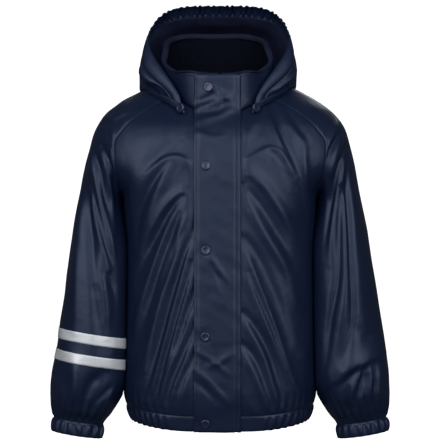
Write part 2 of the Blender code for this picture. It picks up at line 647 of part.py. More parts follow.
def snap_cap(name, place, direction, material):
    """The domed cap of a snap fastener, spun from its profile and set down on the cloth."""
    profile = [(0.0, 1.0), (0.5, 0.92), (0.85, 0.62), (1.0, 0.25), (0.97, 0.0), (0.0, 0.0)]
    cap = bmesh.new()
    points = [cap.verts.new((SNAP_RADIUS * radius, 0, SNAP_HEIGHT * height)) for radius, height in profile]
    edges = [cap.edges.new(pair) for pair in zip(points, points[1:])]
    bmesh.ops.spin(
        cap, geom=points + edges, cent=(0, 0, 0), axis=(0, 0, 1), angle=math.tau, steps=SNAP_SIDES, use_merge=True
    )
    bmesh.ops.remove_doubles(cap, verts=cap.verts[:], dist=1e-6)
    made = finish(name, cap, material)
    made.location = Vector(place) + Vector(direction) * SEAM_GAP
    made.rotation_mode = "QUATERNION"
    made.rotation_quaternion = Vector(direction).to_track_quat("Z", "Y")


for old in list(bpy.data.objects):
    bpy.data.objects.remove(old)
coated_cloth = plain_material("coated_cloth", NAVY, 0.42)
lining_cloth = plain_material("lining_cloth", LINING_NAVY, 0.95)
reflective_tape = plain_material("reflective_tape", SILVER, 0.35, 0.6)
lacquered_metal = plain_material("lacquered_metal", SNAP_NAVY, 0.30, 0.7)

# Fronts, back and sleeves: one skin, so one set of normals for all their seams.
front_left, back_left, sleeve_left = trunk_half("front"), trunk_half("back")[:, ::-1], sleeve_skin()
body = {
    "front_left": front_left,
    "front_right": mirrored(front_left),
    "back": np.concatenate([back_left, mirrored(back_left)[:, 1:]], axis=1),
    "sleeve_left": sleeve_left,
    "sleeve_right": mirrored(sleeve_left),
}
sleeve_folds = sleeve_lift(sleeve_left)
body = lifted(body, {
    "front_left": trunk_lift(body["front_left"], FRONT_FOLDS),
    "front_right": trunk_lift(body["front_right"], FRONT_FOLDS),
    "back": trunk_lift(body["back"], BACK_FOLDS),
    "sleeve_left": sleeve_folds,
    "sleeve_right": sleeve_folds[:, ::-1],
})
body_offsets = skin_offsets(body)
for name, sheet in body.items():
    cloth_wall(name, sheet, body_offsets[name], CLOTH, coated_cloth)

# The reflective bands lie on the right sleeve's own points.
for name, first in (("reflective_band_lower", 0), ("reflective_band_upper", 2)):
    rows = slice(SLEEVE_ROWS + first, SLEEVE_ROWS + first + 2)
    outward = body_offsets["sleeve_right"][rows]
    raised = body["sleeve_right"][rows] + outward * (SEAM_GAP + TAPE)
    cloth_wall(name, raised, outward, TAPE, reflective_tape)

# Gathered casings at the cuffs and the hem.
cuff_left, hem = cuff_skin(), hem_skin()
casings = {"cuff_left": cuff_left, "cuff_right": mirrored(cuff_left), "hem_casing": hem}
casings = lifted(casings, {
    "cuff_left": CUFF_GATHER * crests(cuff_left) + 0 * cuff_left[..., 0],
    "cuff_right": CUFF_GATHER * crests(cuff_left) + 0 * cuff_left[..., 0],
    "hem_casing": HEM_GATHER * crests(hem) * beside_flap(hem),
})
casing_offsets = skin_offsets({name: casings[name] for name in casings})
for name, sheet in casings.items():
    cloth_wall(name, sheet, casing_offsets[name], CLOTH, coated_cloth)

# The collar's outer cloth goes up, turns over in a half circle and comes down inside as far as its rim. The lining
# fills the rest.
turn = COLLAR_THICKNESS / 2
collar_rows = [(0, 0, 0), (0.5, 0, 0)]
for angle in np.linspace(0, math.pi, 4):
    collar_rows.append((1, turn * (1 - math.sin(angle)), turn * (1 - math.cos(angle))))
collar_rows.append((1, COLLAR_RIM, COLLAR_THICKNESS))
behind = CLOTH + 3 * SEAM_GAP
collar = collar_sheet(collar_rows)
lining = collar_sheet([(0, 0, behind), (0.4, 0, behind), (1, COLLAR_RIM + 3 * SEAM_GAP, behind)])
for name, sheet, material in (("collar", collar, coated_cloth), ("collar_lining", lining, lining_cloth)):
    cloth_wall(name, sheet, skin_offsets({name: sheet})[name], CLOTH, material)

# The storm flap lies over the fronts, the hem casing and the collar, and its snaps lie on it.
under_flap = [body["front_left"], body["front_right"], casings["hem_casing"], collar[:3]]
flap = flap_sheet(front_left[:, 0, 2], under_flap)
cloth_wall("storm_flap", flap, skin_offsets({"flap": flap})["flap"], FLAP_CLOTH, coated_cloth)
flap_tree = surface_tree([flap])
for number, snap in enumerate(FLAP_SNAPS, start=1):
    place, direction = flap_tree.ray_cast(Vector((snap.x, -0.5, snap.height)), Vector((0, 1, 0)))[:2]
    snap_cap(f"snap_{number}", place, direction if direction.y < 0 else -direction, lacquered_metal)

# The hood stands on the shoulders behind the collar.
shoulders = surface_tree([body["sleeve_left"], body["front_left"], body["back"]])
places = np.linspace(CASING_SHARE, 1, HOOD_ROWS + 1)
all_columns = 2 * SIDE_COLUMNS + CROWN_COLUMNS
seams = np.interp(
    np.linspace(0, all_columns, 2 * all_columns + 1),
    [0, SIDE_COLUMNS, SIDE_COLUMNS + CROWN_COLUMNS, all_columns],
    [0, 1, 2, 3],
)
hood = {
    "hood_side_right": hood_sheet(np.linspace(0, 1, SIDE_COLUMNS + 1), places, shoulders),
    "hood_crown": hood_sheet(np.linspace(1, 2, CROWN_COLUMNS + 1), places, shoulders),
    "hood_side_left": hood_sheet(np.linspace(2, 3, SIDE_COLUMNS + 1), places, shoulders),
    "hood_casing": hood_sheet(seams, np.linspace(0, CASING_SHARE, 3), shoulders),
}
clear_of_feet = eased((seams - 0.50) / 0.30) * eased((2.50 - seams) / 0.30)
fading = np.array([[1.0], [0.5], [0.0]])
hood_lifts = {name: 0 * sheet[..., 0] for name, sheet in hood.items()}
hood_lifts["hood_casing"] = RUFFLE * crests(hood["hood_casing"]) * clear_of_feet * fading
hood = lifted(hood, hood_lifts)
hood_offsets = skin_offsets(hood)
for sheet in (hood["hood_casing"], hood_offsets["hood_casing"]):
    sheet[-1, 1::2] = (sheet[-1, :-1:2] + sheet[-1, 2::2]) / 2  # the extra columns follow the panels' edge
for name, sheet in hood.items():
    cloth_wall(name, sheet, hood_offsets[name], CLOTH, coated_cloth)

# Each lower front corner of the hood ends in a tab with a snap.
for side, foot, snap_column in (("right", 0, -3), ("left", 3, 2)):
    sheet = tab_sheet(foot, shoulders)
    outward = skin_offsets({side: sheet})[side]
    sheet = sheet + outward * (LAID_ON + SEAM_GAP + TAB_CLOTH)
    cloth_wall("hood_tab_" + side, sheet, outward, TAB_CLOTH, coated_cloth)
    place = sheet[1:3, snap_column].mean(axis=0)
    direction = Vector(outward[1:3, snap_column].mean(axis=0)).normalized()
    snap_cap("hood_snap_" + side, place, direction, lacquered_metal)
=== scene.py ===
"""A child's hooded raincoat of coated cloth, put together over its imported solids.

Units are metres and +Z is up. The front faces -Y, so the wearer's right is at -X.
"""

import math
from collections import namedtuple

import bmesh
import bpy
import numpy as np
from mathutils import Matrix, Vector, noise
from mathutils.bvhtree import BVHTree
from mathutils.kdtree import KDTree


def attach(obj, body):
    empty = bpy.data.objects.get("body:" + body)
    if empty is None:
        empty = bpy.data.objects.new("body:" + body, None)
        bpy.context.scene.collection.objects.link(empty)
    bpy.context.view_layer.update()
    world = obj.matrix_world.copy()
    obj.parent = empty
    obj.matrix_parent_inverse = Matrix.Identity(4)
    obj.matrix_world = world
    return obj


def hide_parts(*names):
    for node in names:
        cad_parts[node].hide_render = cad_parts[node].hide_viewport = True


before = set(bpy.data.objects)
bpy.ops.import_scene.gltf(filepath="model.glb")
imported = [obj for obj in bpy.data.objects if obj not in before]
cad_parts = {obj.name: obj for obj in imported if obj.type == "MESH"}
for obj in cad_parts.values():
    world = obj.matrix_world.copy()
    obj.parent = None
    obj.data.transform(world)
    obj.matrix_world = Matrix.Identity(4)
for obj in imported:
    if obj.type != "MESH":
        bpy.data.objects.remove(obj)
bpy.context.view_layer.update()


# Body: two fronts, a back and two raglan sleeves, cut from coated knit and sewn face to face. The cloth is
# filled out as if worn, and its folds run from the front closing and from under the arms.

MM = 0.001
HEM_SEAM = -0.4400
HEM_EDGE = -0.4610
CUFF_SEAM = -0.4530
CUFF_EDGE = -0.4720
FRONT_NECK = -0.0280
BACK_NECK = 0.0280
UNDERARM = -0.1470
UNDERARM_X = 0.1340
FOLD_TOP = -0.0760  # above this height sleeve and trunk meet without a fold
CHEST_START = UNDERARM - 0.070  # the trunk fills out into the chest between these two heights
CHEST = UNDERARM + 0.050
ARM_GAP = 0.0015
ARM_TILT = math.radians(9.0)
SQUARENESS = 2.6  # of the trunk seen from above, where 2 is an ellipse
HEM_SWEEP = 0.0095
SWEEP_START = 0.038
SWEEP_TOP = -0.360
SWEEP_REACH = 0.080
FLAP_RIGHT_EDGE = -0.0350
FLAP_LEFT_EDGE = 0.0282
CLOTH = 0.0012  # the real cloth is 0.6 mm thick
SEAM_GAP = 0.0003
SEAM_DIP = 0.0007
SEAM_REACH = 0.0016

Section = namedtuple("Section", "height half_width front_depth back_depth")
TRUNK = [
    Section(-0.461, 0.1240, 0.0945, 0.0860),
    Section(-0.440, 0.1308, 0.0985, 0.0890),
    Section(-0.425, 0.1342, 0.1020, 0.0930),
    Section(-0.405, 0.1352, 0.1045, 0.0960),
    Section(-0.360, 0.1348, 0.1060, 0.0985),
    Section(-0.300, 0.1335, 0.1070, 0.0990),
    Section(-0.220, 0.1325, 0.1070, 0.0985),
    Section(-0.147, 0.1340, 0.1060, 0.1000),
]
YOKE = [
    Section(-0.147, 0.1970, 0.1060, 0.1000),
    Section(-0.105, 0.1900, 0.1045, 0.1020),
    Section(-0.075, 0.1820, 0.0990, 0.1010),
    Section(-0.050, 0.1745, 0.0880, 0.0980),
    Section(-0.025, 0.1580, 0.0660, 0.0915),
    Section(-0.007, 0.1330, 0.0450, 0.0835),
    Section(0.003, 0.1160, 0.0340, 0.0780),
    Section(0.012, 0.0980, 0.0250, 0.0720),
    Section(0.021, 0.0780, 0.0160, 0.0650),
    Section(0.028, 0.0620, 0.0080, 0.0580),
]
Raglan = namedtuple("Raglan", "share front_height front_x ridge_height back_height back_x")
RAGLAN = [
    Raglan(0.00, -0.147, 0.1340, -0.137, -0.147, 0.1340),
    Raglan(0.15, -0.121, 0.1400, -0.105, -0.119, 0.1405),
    Raglan(0.30, -0.096, 0.1440, -0.076, -0.093, 0.1440),
    Raglan(0.45, -0.071, 0.1445, -0.050, -0.067, 0.1430),
    Raglan(0.60, -0.049, 0.1310, -0.031, -0.040, 0.1310),
    Raglan(0.75, -0.029, 0.1090, -0.012, -0.015, 0.1070),
    Raglan(0.88, -0.014, 0.0850, 0.006, 0.006, 0.0800),
    Raglan(1.00, -0.004, 0.0620, 0.021, 0.022, 0.0560),
]
Ring = namedtuple("Ring", "height centre_x centre_y half_width half_depth")
SLEEVE = [
    Ring(-0.472, 0.1990, -0.0200, 0.0360, 0.0290),
    Ring(-0.453, 0.1965, -0.0200, 0.0350, 0.0290),
    Ring(-0.436, 0.1918, -0.0200, 0.0418, 0.0410),
    Ring(-0.414, 0.1860, -0.0210, 0.0490, 0.0500),
    Ring(-0.388, 0.1793, -0.0210, 0.0542, 0.0530),
    Ring(-0.355, 0.1755, -0.0210, 0.0525, 0.0545),
    Ring(-0.312, 0.1725, -0.0200, 0.0500, 0.0560),
    Ring(-0.260, 0.1690, -0.0180, 0.0465, 0.0580),
    Ring(-0.200, 0.1640, -0.0120, 0.0415, 0.0600),
    Ring(-0.142, 0.1648, 0.0000, 0.0308, 0.0620),
]

# Each fold is a line in the front, back or side view, with how far it stands out or sinks in and how far it
# spreads on either side of its line, all in mm.
Fold = namedtuple("Fold", "view path rise left right")
RIGHT_FRONT_FOLDS = [
    Fold("front", [(36, -101), (54, -89), (67, -90), (81, -97), (91, -105), (101, -115)], 3.0, 3, 9),
    Fold("front", [(56, -65), (74, -81), (93, -96), (103, -106)], -2.1, 8, 5),
    Fold("front", [(71, -97), (81, -110), (94, -131), (103, -152), (110, -178), (113, -202)], -2.7, 5, 4),
    Fold("front", [(73, -110), (83, -135), (94, -164), (103, -190), (108, -218)], 2.8, 5, 7),
    Fold("front", [(51, -136), (67, -148), (78, -163), (91, -187), (101, -203), (109, -223)], 3.0, 6, 3),
    Fold("front", [(52, -145), (73, -170), (83, -190), (94, -211), (103, -231), (113, -261)], -3.3, 4, 6),
    Fold("front", [
        (47, -140), (60, -163), (70, -183), (77, -203), (85, -226), (93, -249),
        (99, -269), (106, -284), (113, -308), (118, -336), (124, -363),
    ], 3.3, 4, 4),
    Fold("front", [
        (56, -168), (67, -197), (75, -219), (83, -242),
        (90, -265), (99, -299), (108, -334),
    ], -2.4, 4, 4),
    Fold("front", [(43, -144), (51, -168), (56, -192), (60, -215)], 2.0, 3, 3),
    Fold("front", [(32, -149), (43, -168), (51, -186), (59, -207)], 2.2, 3, 3),
    Fold("front", [
        (31, -167), (43, -191), (51, -210), (59, -231), (67, -256),
        (77, -276), (83, -299), (89, -323), (97, -350), (101, -379),
    ], 3.8, 5, 3.5),
    Fold("front", [
        (30, -172), (40, -194), (47, -210), (51, -226), (58, -252), (67, -283),
        (75, -309), (81, -336), (87, -360), (93, -383), (99, -414),
    ], -4.2, 3.5, 4.5),
    Fold("front", [
        (32, -199), (42, -215), (46, -233), (51, -260), (58, -278), (65, -300),
        (70, -327), (77, -350), (83, -377), (91, -401), (101, -421),
    ], 3.4, 4, 3),
    Fold("front", [
        (40, -231), (46, -261), (52, -283), (59, -307), (66, -331),
        (73, -352), (79, -379), (86, -410), (91, -433),
    ], -3.6, 2.6, 2.6),
    Fold("front", [
        (31, -237), (39, -260), (46, -280), (52, -300),
        (59, -324), (66, -350), (74, -374),
    ], 3.0, 3, 3),
    Fold("front", [(30, -253), (39, -285), (46, -304), (52, -328), (60, -352)], -3.9, 2.6, 3),
    Fold("front", [
        (31, -281), (43, -309), (50, -331), (58, -352),
        (66, -373), (75, -398), (82, -422),
    ], 3.0, 3, 3.5),
    Fold("front", [(32, -312), (46, -344), (56, -367), (65, -389), (71, -412), (78, -433)], -2.8, 3, 3),
    Fold("front", [(31, -335), (43, -360), (50, -378), (58, -395), (66, -414)], 2.7, 3, 4),
    Fold("front", [(31, -346), (40, -367), (48, -383), (58, -405)], -3.4, 2.6, 3),
    Fold("front", [(31, -366), (43, -391), (50, -413), (54, -433)], 2.5, 4, 6),
    Fold("front", [(132, -81), (125, -121), (122, -152), (120, -183), (116, -210), (110, -229)], 1.7, 5, 5),
]
LEFT_FRONT_FOLDS = [
    Fold("front", [(31, -70), (43, -49), (58, -29)], 1.5, 6, 6),
    Fold("front", [(70, -16), (78, -43), (87, -65), (97, -88), (105, -110)], -2.1, 5, 5),
    Fold("front", [(63, -22), (73, -51), (83, -76), (94, -94), (103, -117)], 2.2, 3.5, 8),
    Fold("front", [(81, -20), (91, -43), (105, -62), (120, -78)], 1.8, 4, 5),
    Fold("front", [(94, -30), (108, -49), (122, -67)], -1.7, 4, 4),
    Fold("front", [(114, -81), (117, -115), (120, -148), (122, -180)], 2.2, 4, 4),
    Fold("front", [
        (32, -96), (51, -86), (65, -77), (75, -78), (86, -89), (95, -104), (103, -117),
    ], 2.8, 3, 10),
    Fold("front", [(66, -81), (77, -88), (86, -101)], -1.7, 3, 3),
    Fold("front", [(40, -113), (59, -129), (73, -151), (86, -171), (95, -191), (103, -205)], 3.8, 9, 4),
    Fold("front", [(32, -129), (48, -148), (62, -166), (73, -186), (86, -209), (98, -234)], -3.4, 5, 8),
    Fold("front", [
        (34, -137), (43, -162), (51, -182), (62, -199), (75, -218),
        (86, -237), (94, -256), (99, -276), (105, -296),
    ], 4.1, 9, 4.5),
    Fold("front", [
        (32, -199), (46, -213), (56, -231), (67, -256),
        (78, -283), (86, -307), (94, -339),
    ], -3.8, 5, 8),
    Fold("front", [
        (38, -226), (43, -240), (51, -262), (62, -289), (73, -316),
        (81, -343), (90, -366), (99, -393), (110, -414), (118, -430),
    ], 2.8, 3, 2.6),
    Fold("front", [
        (39, -245), (50, -272), (59, -293), (70, -320),
        (79, -346), (87, -366), (97, -390),
    ], -2.2, 2.2, 2.2),
    Fold("front", [
        (31, -237), (38, -256), (46, -276), (56, -299), (67, -326),
        (77, -347), (85, -366), (94, -390), (105, -412),
    ], 2.7, 3, 3.5),
    Fold("front", [
        (30, -299), (40, -307), (51, -323), (62, -343),
        (70, -363), (75, -390), (85, -420),
    ], -3.6, 4, 5),
    Fold("front", [
        (31, -307), (38, -319), (48, -336), (59, -356),
        (67, -379), (75, -406), (83, -436),
    ], 2.5, 4, 3.5),
    Fold("front", [(28, -340), (40, -350), (50, -366), (58, -387), (65, -409), (71, -428)], -3.4, 4, 4),
    Fold("front", [(31, -355), (43, -374), (51, -393), (59, -414), (67, -433)], 2.1, 4, 4),
    Fold("front", [(112, -358), (121, -369), (130, -382)], 1.7, 4, 4),
]
BACK_FOLDS = [
    Fold("back", [(-100, -105), (-78, -150), (-62, -206), (-55, -262)], 5.0, 13, 9),
    Fold("back", [(104, -112), (80, -160), (58, -220), (50, -270)], 5.0, 10, 13),
    Fold("back", [(-112, -170), (-90, -226), (-72, -300), (-62, -372)], 4.5, 11, 9),
    Fold("back", [(112, -190), (94, -250), (78, -318), (70, -396)], 4.5, 9, 11),
    Fold("back", [(-112, -262), (-98, -318), (-90, -390)], 3.5, 8, 8),
    Fold("back", [(112, -290), (101, -340), (96, -404)], 3.5, 8, 8),
    Fold("back", [(-34, -206), (-30, -290), (-36, -396)], 3.5, 10, 9),
    Fold("back", [(26, -240), (24, -310), (34, -410)], 3.5, 9, 9),
    Fold("back", [(-4, -300), (2, -420)], 2.5, 8, 8),
    Fold("back", [(-56, -34), (-20, -52), (26, -50), (60, -30)], 2.0, 9, 12),
    Fold("back", [(-92, -140), (-74, -196), (-68, -250)], -2.5, 8, 8),
    Fold("back", [(92, -160), (70, -220), (64, -268)], -2.5, 8, 8),
]
RIGHT_SLEEVE_FOLDS = [
    Fold("front", [(162, -35), (147, -35), (131, -29), (113, -24)], 2.1, 3.5, 3.5),
    Fold("front", [(165, -43), (155, -41), (146, -44)], -2.1, 3.5, 3.5),
    Fold("front", [(148, -50), (144, -65), (140, -80)], 1.8, 3, 3),
    Fold("front", [
        (139, -69), (138, -86), (135, -107), (132, -130),
        (129, -155), (127, -182), (127, -213),
    ], -3.9, 3, 3),
    Fold("front", [(147, -80), (142, -104), (138, -134), (135, -161), (132, -191)], 2.5, 3, 3),
    Fold("front", [
        (162, -74), (154, -91), (147, -110), (143, -131),
        (140, -155), (138, -182), (135, -209), (129, -235),
    ], -4.1, 3, 3),
    Fold("front", [
        (162, -82), (155, -104), (150, -127), (147, -148),
        (144, -175), (139, -205), (133, -232), (129, -257),
    ], 3.3, 4, 4),
    Fold("front", [(174, -77), (169, -96), (163, -114), (159, -134), (154, -159)], -3.6, 3, 3),
    Fold("front", [
        (180, -86), (174, -107), (168, -127), (165, -148), (158, -168),
        (150, -195), (142, -223), (136, -243), (131, -273),
    ], 3.4, 4, 4),
    Fold("front", [
        (178, -118), (173, -142), (168, -164), (162, -186),
        (155, -209), (147, -232), (139, -259),
    ], -2.7, 3, 3),
    Fold("front", [
        (181, -107), (177, -134), (174, -155), (170, -175),
        (165, -195), (159, -216), (151, -243),
    ], 3.2, 3, 3),
    Fold("front", [
        (183, -118), (183, -148), (181, -168), (177, -189),
        (174, -209), (173, -232), (170, -270),
    ], -6.0, 6, 6),
    Fold("front", [
        (185, -114), (191, -155), (193, -189), (195, -223),
        (196, -257), (198, -291), (199, -325),
    ], 4.2, 6, 6),
    Fold("front", [(159, -257), (155, -284), (153, -311), (154, -336)], 2.4, 4, 4),
    Fold("front", [(150, -251), (140, -277), (136, -298), (135, -336)], -3.6, 4, 4),
    Fold("front", [(169, -268), (166, -298), (163, -330)], -2.2, 5, 5),
    Fold("front", [(196, -368), (196, -393), (199, -413), (203, -431)], 3.3, 7, 7),
    Fold("front", [(161, -385), (176, -397), (183, -415), (184, -439)], -5.7, 6, 8),
    Fold("front", [(138, -396), (150, -407), (158, -417), (168, -428), (173, -445)], 3.6, 3, 3),
    Fold("front", [(144, -400), (158, -413), (168, -424), (176, -435)], -3.3, 2.6, 2.6),
    Fold("front", [(143, -408), (155, -423), (165, -437), (169, -450)], 2.5, 3, 3),
    Fold("side", [(40, -112), (18, -176), (-4, -232)], 2.8, 9, 7),
    Fold("side", [(46, -170), (26, -230), (0, -286)], 3.5, 9, 8),
    Fold("side", [(-18, -250), (-20, -320), (-20, -400)], -2.4, 22, 22),
    Fold("side", [(-46, -372), (-34, -404), (-30, -440)], 1.2, 6, 6),
    Fold("side", [(16, -360), (2, -400), (-4, -440)], 3.5, 8, 7),
    Fold("back", [(168, -96), (160, -160), (144, -214)], 4.0, 8, 7),
    Fold("back", [(184, -130), (178, -200), (160, -262)], 3.5, 8, 8),
    Fold("back", [(192, -240), (196, -320), (192, -380)], 3.0, 9, 9),
    Fold("back", [(156, -380), (176, -410), (184, -440)], 3.5, 7, 7),
]
LEFT_SLEEVE_FOLDS = [
    Fold("front", [(163, -41), (154, -61), (144, -80)], 2.4, 3.5, 3.5),
    Fold("front", [(162, -54), (153, -73), (146, -88), (140, -104), (136, -129)], -3.0, 2.6, 2.6),
    Fold("front", [(165, -63), (157, -86), (150, -107), (144, -134), (139, -159)], 2.8, 4, 4),
    Fold("front", [
        (172, -73), (165, -91), (159, -110), (155, -134),
        (151, -157), (147, -178), (143, -202), (138, -229),
    ], -4.2, 3.2, 3.2),
    Fold("front", [(172, -86), (165, -120), (159, -148), (155, -175), (151, -202), (148, -235)], 3.0, 4, 4),
    Fold("front", [
        (165, -131), (163, -161), (162, -189), (162, -216), (162, -243), (158, -270),
        (154, -291), (150, -311), (147, -332), (144, -355), (142, -379),
    ], -4.5, 4, 4),
    Fold("front", [
        (170, -148), (170, -189), (172, -229), (172, -264),
        (168, -298), (161, -332), (155, -359), (147, -385),
    ], 2.4, 5, 5),
    Fold("front", [
        (173, -88), (173, -120), (174, -155), (176, -189), (177, -223), (178, -257),
        (181, -291), (181, -318), (177, -334), (172, -352), (165, -374),
    ], -3.8, 3, 3),
    Fold("front", [(180, -100), (181, -148), (185, -189), (188, -229), (189, -270), (191, -303)], 2.2, 6, 6),
    Fold("front", [
        (161, -393), (177, -378), (188, -371), (195, -372),
        (200, -367), (210, -362), (223, -360),
    ], 4.8, 13, 3.5),
    Fold("front", [(165, -401), (177, -385), (188, -378)], -2.7, 3, 5),
    Fold("front", [(185, -322), (202, -332), (218, -334)], -1.5, 6, 6),
    Fold("front", [(192, -377), (185, -396), (177, -415), (172, -428)], 3.2, 3, 3),
    Fold("front", [(196, -379), (191, -400), (185, -420), (181, -439)], -2.8, 3, 3),
    Fold("front", [(204, -374), (204, -400), (203, -423)], 2.4, 3, 3),
    Fold("front", [(200, -387), (199, -413), (199, -439)], -3.3, 2.4, 2.4),
    Fold("front", [(217, -377), (217, -407), (215, -431)], 2.7, 3, 3),
    Fold("front", [(210, -396), (208, -420), (207, -439)], -2.5, 2.6, 2.6),
    Fold("front", [(174, -404), (172, -426), (173, -445)], -3.4, 3, 3),
    Fold("side", [(34, -104), (18, -166), (0, -222)], 2.6, 8, 8),
    Fold("side", [(48, -160), (24, -240), (10, -310)], 3.5, 10, 8),
    Fold("side", [(-8, -344), (8, -356), (28, -352)], 1.6, 8, 9),
    Fold("side", [(-42, -384), (-36, -412), (-32, -440)], 1.2, 6, 6),
    Fold("side", [(12, -366), (0, -404), (-6, -440)], 3.5, 8, 7),
    Fold("back", [(168, -100), (158, -166), (142, -226)], 4.0, 8, 7),
    Fold("back", [(186, -140), (180, -210), (166, -280)], 3.5, 8, 8),
    Fold("back", [(190, -260), (198, -330), (194, -390)], 3.0, 9, 9),
    Fold("back", [(158, -372), (174, -408), (182, -438)], 3.5, 7, 7),
]


def read(table, column, at, key="height"):
    """A column's value at a place in a table, on a smooth curve that never overshoots the rows."""
    places = np.array([getattr(row, key) for row in table])
    values = np.array([getattr(row, column) for row in table])
    at = np.clip(at, places[0], places[-1])
    steps = np.diff(places)
    slopes = np.diff(values) / steps
    product, total = slopes[:-1] * slopes[1:], slopes[:-1] + slopes[1:]
    inner = np.where(product > 0, 2 * product / np.where(product > 0, total, 1.0), 0.0)
    tangents = np.concatenate([slopes[:1], inner, slopes[-1:]])
    i = np.clip(np.searchsorted(places, at) - 1, 0, len(places) - 2)
    t = (at - places[i]) / steps[i]
    straight = values[i] + (values[i + 1] - values[i]) * t * t * (3 - 2 * t)
    return straight + steps[i] * t * (1 - t) * (tangents[i] * (1 - t) - tangents[i + 1] * t)


def eased(share):
    """0 before 0, 1 after 1, and smooth between."""
    share = np.clip(share, 0, 1)
    return share * share * (3 - 2 * share)


def crowded(count, edge):
    """Places from 0 to 1, evenly spread but close together within an edge at either end."""
    ends = np.array([0, 0.2, 0.5]) * edge
    return np.concatenate([ends, np.linspace(edge, 1 - edge, count), 1 - ends[::-1]])


def across(angle, half_width, depth):
    """A point of the trunk's outline seen from above, from the side (an angle of 0) to the middle."""
    power = 2 / SQUARENESS
    return half_width * np.cos(angle) ** power, depth * np.sin(angle) ** power


def share_left(share):
    """How much of the trunk's depth is left at a share of its half width, or the other way round."""
    return (1 - np.clip(share, 0, 0.9999) ** SQUARENESS) ** (1 / SQUARENESS)


def angle_at(x, half_width):
    """The angle at which across() gives this x."""
    return np.arccos(np.clip(x / half_width, 0, 1) ** (SQUARENESS / 2))


def apart(height):
    """How far sleeve and trunk have parted: 0 above the fold and 1 at the underarm."""
    share = np.clip((height - UNDERARM) / (FOLD_TOP - UNDERARM), 0, 1)
    return 1 - np.sqrt(share * (2 - share))


def raglan_seam(height, face):
    """How far out and how deep the seam between sleeve and trunk lies at a height."""
    x = read(RAGLAN, face + "_x", height, key=face + "_height")
    depth = read(YOKE, face + "_depth", height) * share_left(x / read(YOKE, "half_width", height))
    return x + (UNDERARM_X - x) * apart(height), depth * (1 - apart(height))


def swept(x, height):
    """How far the lower edge rises towards the sides."""
    aside = np.clip((np.abs(x) - SWEEP_START) / (TRUNK[0].half_width - SWEEP_START), 0, 1)
    return HEM_SWEEP * aside**2 * eased((SWEEP_TOP - height) / SWEEP_REACH)


def trunk_width(height, face):
    """The half width of the outline that passes through the seam."""
    seam_x, seam_depth = raglan_seam(height, face)
    above = seam_x / share_left(seam_depth / read(YOKE, face + "_depth", height))
    return np.where(height <= UNDERARM, read(TRUNK, "half_width", height), above)


def trunk_points(u, height, edge, face):
    """The left half of the trunk, from its middle (u of 0) to its seam (1), which the row meets at the edge's
    height."""
    below = height <= UNDERARM
    depth = np.where(below, read(TRUNK, face + "_depth", height), read(YOKE, face + "_depth", height))
    widening = eased((height - CHEST_START) / (CHEST - CHEST_START)) ** 2
    widening *= trunk_width(CHEST, face) - TRUNK[-1].half_width
    filled = np.where(height < CHEST, TRUNK[-1].half_width + widening, trunk_width(height, face))
    filled = np.where(below, filled + read(TRUNK, "half_width", height) - TRUNK[-1].half_width, filled)
    to_seam = eased((u - 0.6) / 0.4)
    seam_angle = angle_at(raglan_seam(edge, face)[0], trunk_width(edge, face))
    seam_angle = np.where(edge <= UNDERARM, 0.0, seam_angle)
    x = across((math.pi / 2 - seam_angle) * (1 - u) + seam_angle, trunk_width(edge, face), 0)[0]
    x = np.where(u == 0, 0.0, x)
    at_seam = across(angle_at(x, trunk_width(height, face)), 0, depth)[1]
    inside = across(angle_at(x, np.maximum(filled, trunk_width(height, face))), 0, depth)[1]
    y = inside + (at_seam - inside) * to_seam
    return np.stack([x, y if face == "back" else -y, height + swept(x, height)], axis=-1)


def neck_height(u, face):
    """The neck seam's height from the middle of the front or back (u of 0) to the raglan seam (1)."""
    middle = {"front": FRONT_NECK, "back": BACK_NECK}[face]
    return middle + (getattr(RAGLAN[-1], face + "_height") - middle) * u**2


YOKE_SHARES = np.concatenate([np.linspace(0, 0.985, 78), [0.992, 0.997, 1]]) ** 1.25
LOWER_SHARES = np.concatenate([[0, 0.002, 0.004], np.linspace(0.008, 1, 118)[:-1]])
TUBE_SHARES = np.concatenate([[0, 0.002, 0.004], np.linspace(0.008, 1, 122)[:-1]])
SOFT_ROWS = 24
SOFT_ROUNDS = 60


def softened(skin, row, columns):
    """A skin with its slope evened out some 20 mm on either side of a row, in the columns that may move."""
    near = 1 - eased(np.abs(np.arange(len(skin)) - row) / SOFT_ROWS)
    share = near[1:-1, None, None] * columns[None, :, None] / 2
    for _ in range(SOFT_ROUNDS):
        skin[1:-1] += share * ((skin[:-2] + skin[2:]) / 2 - skin[1:-1])
    return skin


def trunk_half(face):
    """The left half of the front or the back, from the hem seam up to the neck seam."""
    u = crowded(66, 0.012)
    level = HEM_SEAM + (UNDERARM - HEM_SEAM) * LOWER_SHARES
    shares = YOKE_SHARES[:, None]
    edge = read(RAGLAN, face + "_height", shares, key="share")
    middle = UNDERARM + (neck_height(0, face) - UNDERARM) * shares**0.75
    heights = np.concatenate([level[:, None] + 0 * u, middle + (edge - middle) * u**2])
    edges = np.concatenate([level[:, None], edge])
    skin = trunk_points(*np.broadcast_arrays(u, heights, edges), face)
    return softened(skin, len(level), eased((0.995 - u) / 0.05))


def trunk_outside(y, height):
    """How far out the trunk's side stands beside the hanging sleeve."""
    height = height - swept(TRUNK[0].half_width, height)
    depth = np.where(y < 0, read(TRUNK, "front_depth", height), read(TRUNK, "back_depth", height))
    return read(TRUNK, "half_width", height) * share_left(np.abs(y) / depth)


